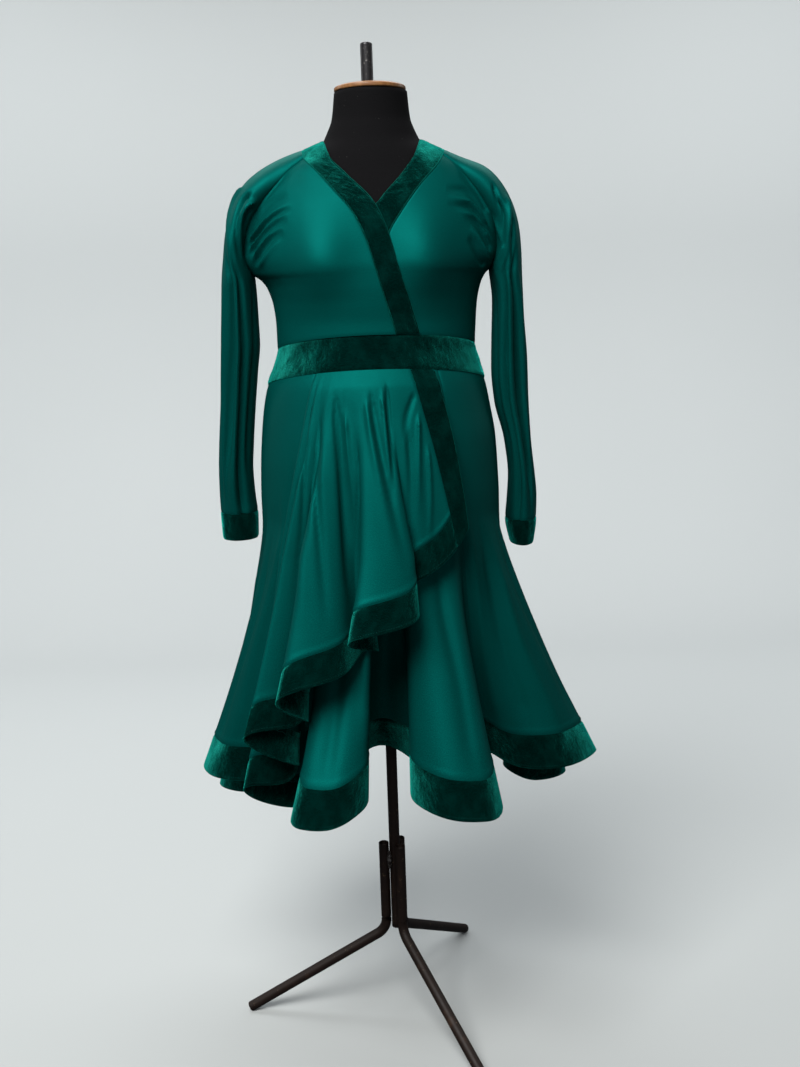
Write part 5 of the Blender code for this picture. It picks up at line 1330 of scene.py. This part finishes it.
# Flutes of the cascade: the x, y and z of the hem where it leaves the last one, at the tip, where
# it turns back and deep inside
FOLDS = np.array([
    (0.122, -0.171, 0.945, 0.087, -0.183, 0.913, 0.052, -0.196, 0.896, 0.030, -0.190, 0.880),
    (0.050, -0.238, 0.848, -0.060, -0.266, 0.811, -0.012, -0.222, 0.788, -0.036, -0.190, 0.780),
    (-0.074, -0.246, 0.757, -0.179, -0.270, 0.720, -0.132, -0.226, 0.672, -0.142, -0.196, 0.666),
    (-0.160, -0.220, 0.664, -0.234, -0.250, 0.660, -0.154, -0.194, 0.582, -0.158, -0.168, 0.574),
    (-0.172, -0.185, 0.556, -0.246, -0.200, 0.550, -0.166, -0.158, 0.490, -0.142, -0.146, 0.488),
])
TIP = (0.144, -0.162, 0.973)
OVER_OFF, OVER_RISE = 0.0028, 0.0014
OVER_FLARE = 1.6


def fold_curve():
    """Knots, by the hem's length, and points of the overskirt's hem from its tip on."""
    points = np.concatenate([[TIP], FOLDS.reshape(-1, 3)])
    knots = np.concatenate([[0], np.cumsum(np.linalg.norm(np.diff(points, axis=0), axis=1) ** 0.6)])
    return knots - knots[1], points


FOLD_KNOTS, FOLD_POINTS = fold_curve()
# Fold lines from the waist down: their x at the waist and at the hip, for the places on the hem
LINES = Table("place waist hip", np.column_stack([
    FOLD_KNOTS[[0, 1, 5, 9, 13, 17, 20]],
    [0.092, 0.054, -0.004, -0.064, -0.088, -0.097, -0.104],
    [0.144, 0.118, 0.036, -0.078, -0.118, -0.136, -0.152],
]))


def over_point(s, t):
    """Point of the overskirt: s runs along its hem from the satin's edge, t down from the waist."""
    s, t = np.broadcast_arrays(np.asarray(s, float), np.asarray(t, float))
    hem = spline(FOLD_KNOTS, FOLD_POINTS, s)
    x_top, x_low = LINES.at("waist", s), LINES.at("hip", s)
    u_top = angle_at(x_top, 1.22, -1)
    u_low = angle_at(x_low, 0.95, -1)
    top = waist(u_top, False)
    z = top + (hem[..., 2] - top) * t
    down = clip((top - z) / SKIRT_FALL)
    u = u_top + (u_low - u_top) * down
    below = body_cloth(u_low, hem[..., 2], OVER_OFF + OVER_RISE)
    off = (OVER_OFF + OVER_RISE * down)[..., None]
    point = body_cloth(u, z, off) + (t ** OVER_FLARE)[..., None] * (hem - below)
    point[..., 2] = z
    return point


# Folds of the overskirt as bent lines through four places: the share of the hem's length and the
# share of the way down to it, with half width and height; negative ones are troughs
OVER_FOLDS = Table("s1 t1 s2 t2 s3 t3 s4 t4 wide high", [
    (0.419, 0.060, 0.383, 0.337, 0.384, 0.595, 0.378, 0.840, 0.0075, -0.0075),
    (0.348, 0.120, 0.340, 0.295, 0.337, 0.455, 0.345, 0.640, 0.0065, 0.0034),
    (0.288, 0.250, 0.318, 0.441, 0.339, 0.575, 0.369, 0.830, 0.0048, -0.0045),
    (0.213, 0.070, 0.204, 0.295, 0.197, 0.491, 0.189, 0.840, 0.0058, -0.0066),
    (0.237, 0.080, 0.222, 0.291, 0.211, 0.485, 0.204, 0.780, 0.0068, 0.0038),
    (0.122, 0.060, 0.150, 0.236, 0.178, 0.387, 0.192, 0.540, 0.0045, -0.0066),
    (0.154, 0.070, 0.177, 0.226, 0.185, 0.343, 0.193, 0.460, 0.0048, 0.0036),
    (0.008, 0.120, 0.042, 0.194, 0.064, 0.248, 0.088, 0.360, 0.0048, -0.0046),
    (0.014, 0.220, 0.043, 0.381, 0.063, 0.525, 0.081, 0.700, 0.0048, 0.0040),
    (0.066, 0.280, 0.082, 0.479, 0.095, 0.637, 0.110, 0.720, 0.0062, -0.0044),
    (0.015, 0.380, 0.033, 0.573, 0.051, 0.727, 0.065, 0.860, 0.0045, 0.0030),
    (0.560, 0.120, 0.479, 0.345, 0.443, 0.575, 0.430, 0.850, 0.0070, -0.0070),
    (0.760, 0.130, 0.665, 0.287, 0.637, 0.443, 0.643, 0.680, 0.0052, -0.0030),
    (0.600, 0.200, 0.520, 0.461, 0.480, 0.627, 0.457, 0.820, 0.0090, 0.0036),
    (0.860, 0.240, 0.800, 0.440, 0.780, 0.620, 0.770, 0.860, 0.0065, -0.0040),
])
OVER_LIFT = 0.0020


def over_folds(s, point):
    """Height of the overskirt's folds over a grid; it lifts a little from the skirt below the waist."""
    _, down = lengths(point)
    total = np.zeros(s.shape)
    for *places, wide, high in OVER_FOLDS.rows:
        line = bent(places) * (FOLD_KNOTS[-1], 1.0)
        total += fold_along(point, over_point(*line.T), wide, high)
    deepest = 0.0034 + 0.0050 * clip((down - 0.08) / 0.20)
    return limited(total, deepest) + OVER_LIFT * soft_step(down / 0.014)


EDGE_COLUMNS, OVER_COLUMNS = 17, 270
over_s = np.concatenate([np.linspace(FOLD_KNOTS[0], 0, EDGE_COLUMNS + 1)[:-1],
                         np.linspace(0, FOLD_KNOTS[-1], OVER_COLUMNS)])
over_grid = draped(over_point, over_s, OVERSKIRT_BAND, 102, 18, over_folds, way=-1)
over_satin, over_band = split_bands(over_grid, EDGE_COLUMNS, len(over_s) - 1,
                                    ("overskirt_satin", "overskirt_hem_velvet"),
                                    ("overskirt", "overskirt_hem"))
edge_part, edge_facing = (part[:EDGE_COLUMNS + 1] for part in over_grid[:2])
edge_high = VELVET - seam_edges(edge_part, ("last",), 0.0010, 0.0018)
edge_high = edge_high - seam_edges(edge_part, ("first",), *FREE_EDGE)
over_edge = sewn("overskirt_edge_velvet", "overskirt_edge", edge_part, edge_facing, edge_high,
                 velvet_weak_painted_sheen)


# Sewing: the turned edges of the velvet bands, the row of stitches beside each hem, and the
# zigzag seam inside the overskirt's flutes, all laid along the lines of the cloth.
def thread_finish():
    material, shader, place = finish("green_thread", Roughness=0.55, Specular_IOR_Level=0.25)
    twist = place.noise(2500.0, 1.0, 0.5)
    feed(shader, Base_Color=twist.mix((0.002, 0.075, 0.062, 1), (0.008, 0.16, 0.135, 1)))
    return material


def new_tree(name, **sizes):
    """Wires of a new Geometry Nodes tree's inputs: its geometry and named sizes."""
    tree = bpy.data.node_groups.new(name, "GeometryNodeTree")
    tree.interface.new_socket(name="Geometry", in_out="INPUT", socket_type="NodeSocketGeometry")
    for key, value in sizes.items():
        socket = tree.interface.new_socket(name=key, in_out="INPUT", socket_type="NodeSocketFloat")
        socket.default_value = value
    tree.interface.new_socket(name="Geometry", in_out="OUTPUT", socket_type="NodeSocketGeometry")
    start = tree.nodes.new("NodeGroupInput")
    return {socket.name: Wire(tree, socket) for socket in start.outputs if socket.name}


def spaced(line, spacing):
    """The curve along a line of edges, with its points at even spacing."""
    curve = line.add("GeometryNodeMeshToCurve", {}, {"Mesh": line})
    return line.add("GeometryNodeResampleCurve", {"mode": "LENGTH"}, {"Curve": curve, "Length": spacing})


def end_tree(wire, material):
    """Ends a tree in Set Shade Smooth, Realize Instances and Set Material."""
    smooth = wire.add("GeometryNodeSetShadeSmooth", {}, {"Geometry": wire})
    real = wire.add("GeometryNodeRealizeInstances", {}, {"Geometry": smooth})
    painted = wire.add("GeometryNodeSetMaterial", {}, {"Geometry": real, "Material": material})
    end = wire.tree.nodes.new("NodeGroupOutput")
    wire.tree.links.new(painted.socket, end.inputs[0])
    return wire.tree


def edge_tree(material):
    """A soft roll of uneven thickness along a line."""
    given = new_tree("rolled_edge", Radius=0.001, Spacing=0.003, Uneven=0.3)
    line = given["Geometry"]
    wave = line.add("GeometryNodeInputPosition", {}, {}).noise(90.0)
    thick = given["Radius"] * (1.0 + given["Uneven"] * (wave - 0.5))
    ring = line.add("GeometryNodeCurvePrimitiveCircle", {}, {"Resolution": 6, "Radius": 1.0})
    curve = spaced(line, given["Spacing"])
    solid = line.add("GeometryNodeCurveToMesh", {}, {"Curve": curve, "Profile Curve": ring, "Scale": thick,
                                                     "Fill Caps": True})
    return end_tree(solid, material)


def stitch_tree(material):
    """A row of small slack stitches along a line, at even spacing."""
    given = new_tree("stitch_row", Spacing=0.003, Length=0.0021, Thickness=0.00032)
    line = given["Geometry"]
    along = line.add("GeometryNodeInputTangent", {}, {})
    turn = line.add("FunctionNodeAlignRotationToVector", {"axis": "Z"}, {"Vector": along})
    size = line.add("ShaderNodeCombineXYZ", {}, {0: given["Thickness"], 1: given["Thickness"],
                                                 2: given["Length"] * 0.5})
    bead = line.add("GeometryNodeMeshUVSphere", {}, {"Segments": 5, "Rings": 4, "Radius": 1.0})
    curve = spaced(line, given["Spacing"])
    row = line.add("GeometryNodeInstanceOnPoints", {}, {"Points": curve, "Instance": bead, "Rotation": turn,
                                                        "Scale": size})
    return end_tree(row, material)


def grown(name, lines, tree, **sizes):
    """A velvet or thread piece that a tree grows along lines of points, put on the body."""
    verts, edges = [], []
    for line in lines:
        first = len(verts)
        verts += [tuple(AXIS + p) for p in line]
        edges += [(k, k + 1) for k in range(first, len(verts) - 1)]
    mesh = bpy.data.meshes.new(name)
    mesh.from_pydata(verts, edges, [])
    piece = linked(name, mesh)
    grow = piece.modifiers.new("grow", "NODES")
    grow.node_group = tree
    for socket in tree.interface.items_tree:
        if socket.in_out == "INPUT" and socket.name in sizes:
            grow[socket.identifier] = sizes[socket.name]
    bake(piece, 60.0)
    place_piece(piece)


def inset(grid, first, last, away, high):
    """Line high above a draped grid, at a distance from its lower edge."""
    point, normal = (part[first:last] for part in grid[:2])
    _, down = lengths(point)
    left = down[:, -1:] - down
    face = point + normal * high
    gaps = np.broadcast_to(away, len(point))
    return np.array([[np.interp(-gap, -row, line[:, k]) for k in range(3)]
                     for line, row, gap in zip(face, left, gaps)])


rolled, rolled_hem, stitched = edge_tree(velvet), edge_tree(hem_velvet), stitch_tree(thread_finish())
cuts = [(first * FLUTE_COLUMNS + 1, last * FLUTE_COLUMNS) for first, last, *_ in PANELS.values()]
hem_end = skirt_grid[0][:, -1] + skirt_grid[1][:, -1] * VELVET * 0.35
over_end = over_grid[0][:, -1] + over_grid[1][:, -1] * VELVET * 0.4
over_side = over_grid[0][0] + over_grid[1][0] * VELVET * 0.4
over_ends = [np.concatenate([over_side[1:-1], over_end[:EDGE_COLUMNS]]), over_end[EDGE_COLUMNS + 1:]]
grown("hem_edge_roll", [hem_end[a:b] for a, b in cuts], rolled_hem, Radius=0.00125)
grown("overskirt_edge_roll", over_ends, rolled_hem, Radius=0.00120)
grown("cuff_edge_roll", cuff_ends, rolled_hem, Radius=0.00110)
grown("neckline_roll", neck_edges, rolled, Radius=0.00130, Uneven=0.5)
grown("neckband_seam_roll", neck_seams, rolled, Radius=0.00085, Uneven=0.6)
STITCH_OUT = VELVET * 0.9
stitch_lines = [inset(over_grid, EDGE_COLUMNS, len(over_s), 0.0042, STITCH_OUT)]
stitch_lines += [inset(skirt_grid, a, b, 0.0045, STITCH_OUT) for a, b in cuts]
grown("hem_stitch_row", stitch_lines, stitched, Spacing=0.0042)
ZIGZAG_AWAY, ZIGZAG_SWAY = 0.0455, 0.0012
zig_first, zig_last = np.searchsorted(over_s, FOLD_KNOTS[[9, 20]])
sway = ZIGZAG_AWAY + ZIGZAG_SWAY * np.where(np.arange(zig_last - zig_first) % 2, 1, -1)
grown("inner_zigzag", [inset(over_grid, zig_first, zig_last, sway, -0.0002)], edge_tree(thread_finish()),
      Radius=0.0003, Spacing=0.0011)


# Studio: a pale floor that runs up into the backdrop, soft lights, and the camera
# at the height and slope of the photo's.
def studio_finish():
    material, shader, place = finish("pale_backdrop", Roughness=0.9, Specular_IOR_Level=0.1)
    shade = place.noise(0.8, 2.0, 0.5)
    feed(shader, Base_Color=shade.mix((0.560, 0.592, 0.590, 1), (0.585, 0.615, 0.612, 1)))
    return material


def backdrop():
    profile = [(-3.5, 0.0), (2.2, 0.0)]
    profile += [(2.2 + 1.6 * math.sin(a), 1.6 - 1.6 * math.cos(a)) for a in np.radians(np.arange(6, 91, 6))]
    profile += [(3.8, 2.4), (3.8, 4.5)]
    x = np.linspace(-6, 6, 13)
    point = np.array([[(px, y, z) for y, z in profile] for px in x])
    stage = surface("studio_floor", point, studio_finish(), outward=np.array([0.0, -0.3, 1.0]))
    stage.visible_glossy = False
    stage.visible_diffuse = False


backdrop()


def soft_light(name, place, aim, size, power, colour):
    light = bpy.data.lights.new(name, "AREA")
    light.shape = "RECTANGLE"
    light.size, light.size_y = size
    light.energy = power
    light.color = colour
    lamp = linked(name, light)
    lamp.location = place
    lamp.rotation_euler = (Vector(aim) - Vector(place)).to_track_quat("-Z", "Y").to_euler()


soft_light("key_left", (-1.05, -2.25, 3.75), (0.0, 0.0, 1.10), (2.3, 2.0), 182.0, (1.0, 0.985, 0.965))
soft_light("fill_front", (0.6, -3.2, 1.5), (0.0, 0.0, 1.0), (1.8, 1.4), 5.0, (0.94, 0.98, 1.0))
soft_light("wall_left", (-2.6, 1.6, 2.6), (-0.8, 3.7, 1.2), (1.6, 2.4), 44.0, (0.96, 0.98, 1.0))
soft_light("wall_right", (2.6, 1.6, 2.6), (0.8, 3.7, 1.4), (1.6, 2.4), 44.0, (0.96, 0.98, 1.0))
soft_light("floor_wash", (0.0, 1.8, 3.4), (0.0, 1.2, 0.0), (3.6, 1.6), 56.0, (0.96, 0.98, 1.0))

world = bpy.data.worlds.new("studio_air")
world.use_nodes = True
world.node_tree.nodes["Background"].inputs["Color"].default_value = (0.86, 0.93, 1.0, 1)
world.node_tree.nodes["Background"].inputs["Strength"].default_value = 0.07
bpy.context.scene.world = world
bpy.context.scene.view_settings.view_transform = "Standard"

CAMERA_HEIGHT, CAMERA_AWAY = 1.356, 2.0372
PITCH, ROLL, YAW = 0.204, -0.0326, 0.0145
FOCUS_PIXELS, PICTURE_HEIGHT, SENSOR = 1163.9, 1067, 24.0
ahead = np.array([math.sin(YAW) * math.cos(PITCH), math.cos(YAW) * math.cos(PITCH), -math.sin(PITCH)])
level = np.array([math.cos(YAW), -math.sin(YAW), 0.0])
upright = np.cross(level, ahead)
right_way = math.cos(ROLL) * level + math.sin(ROLL) * upright
up_way = -math.sin(ROLL) * level + math.cos(ROLL) * upright
lens = bpy.data.cameras.new("photo_camera")
lens.sensor_fit = "VERTICAL"
lens.sensor_height = SENSOR
lens.lens = SENSOR * FOCUS_PIXELS / PICTURE_HEIGHT
camera = linked("photo_camera", lens)
turn = Matrix((right_way, up_way, -ahead)).transposed().to_4x4()
camera.matrix_world = Matrix.Translation((AXIS[0], AXIS[1] - CAMERA_AWAY, CAMERA_HEIGHT)) @ turn
bpy.context.scene.camera = camera
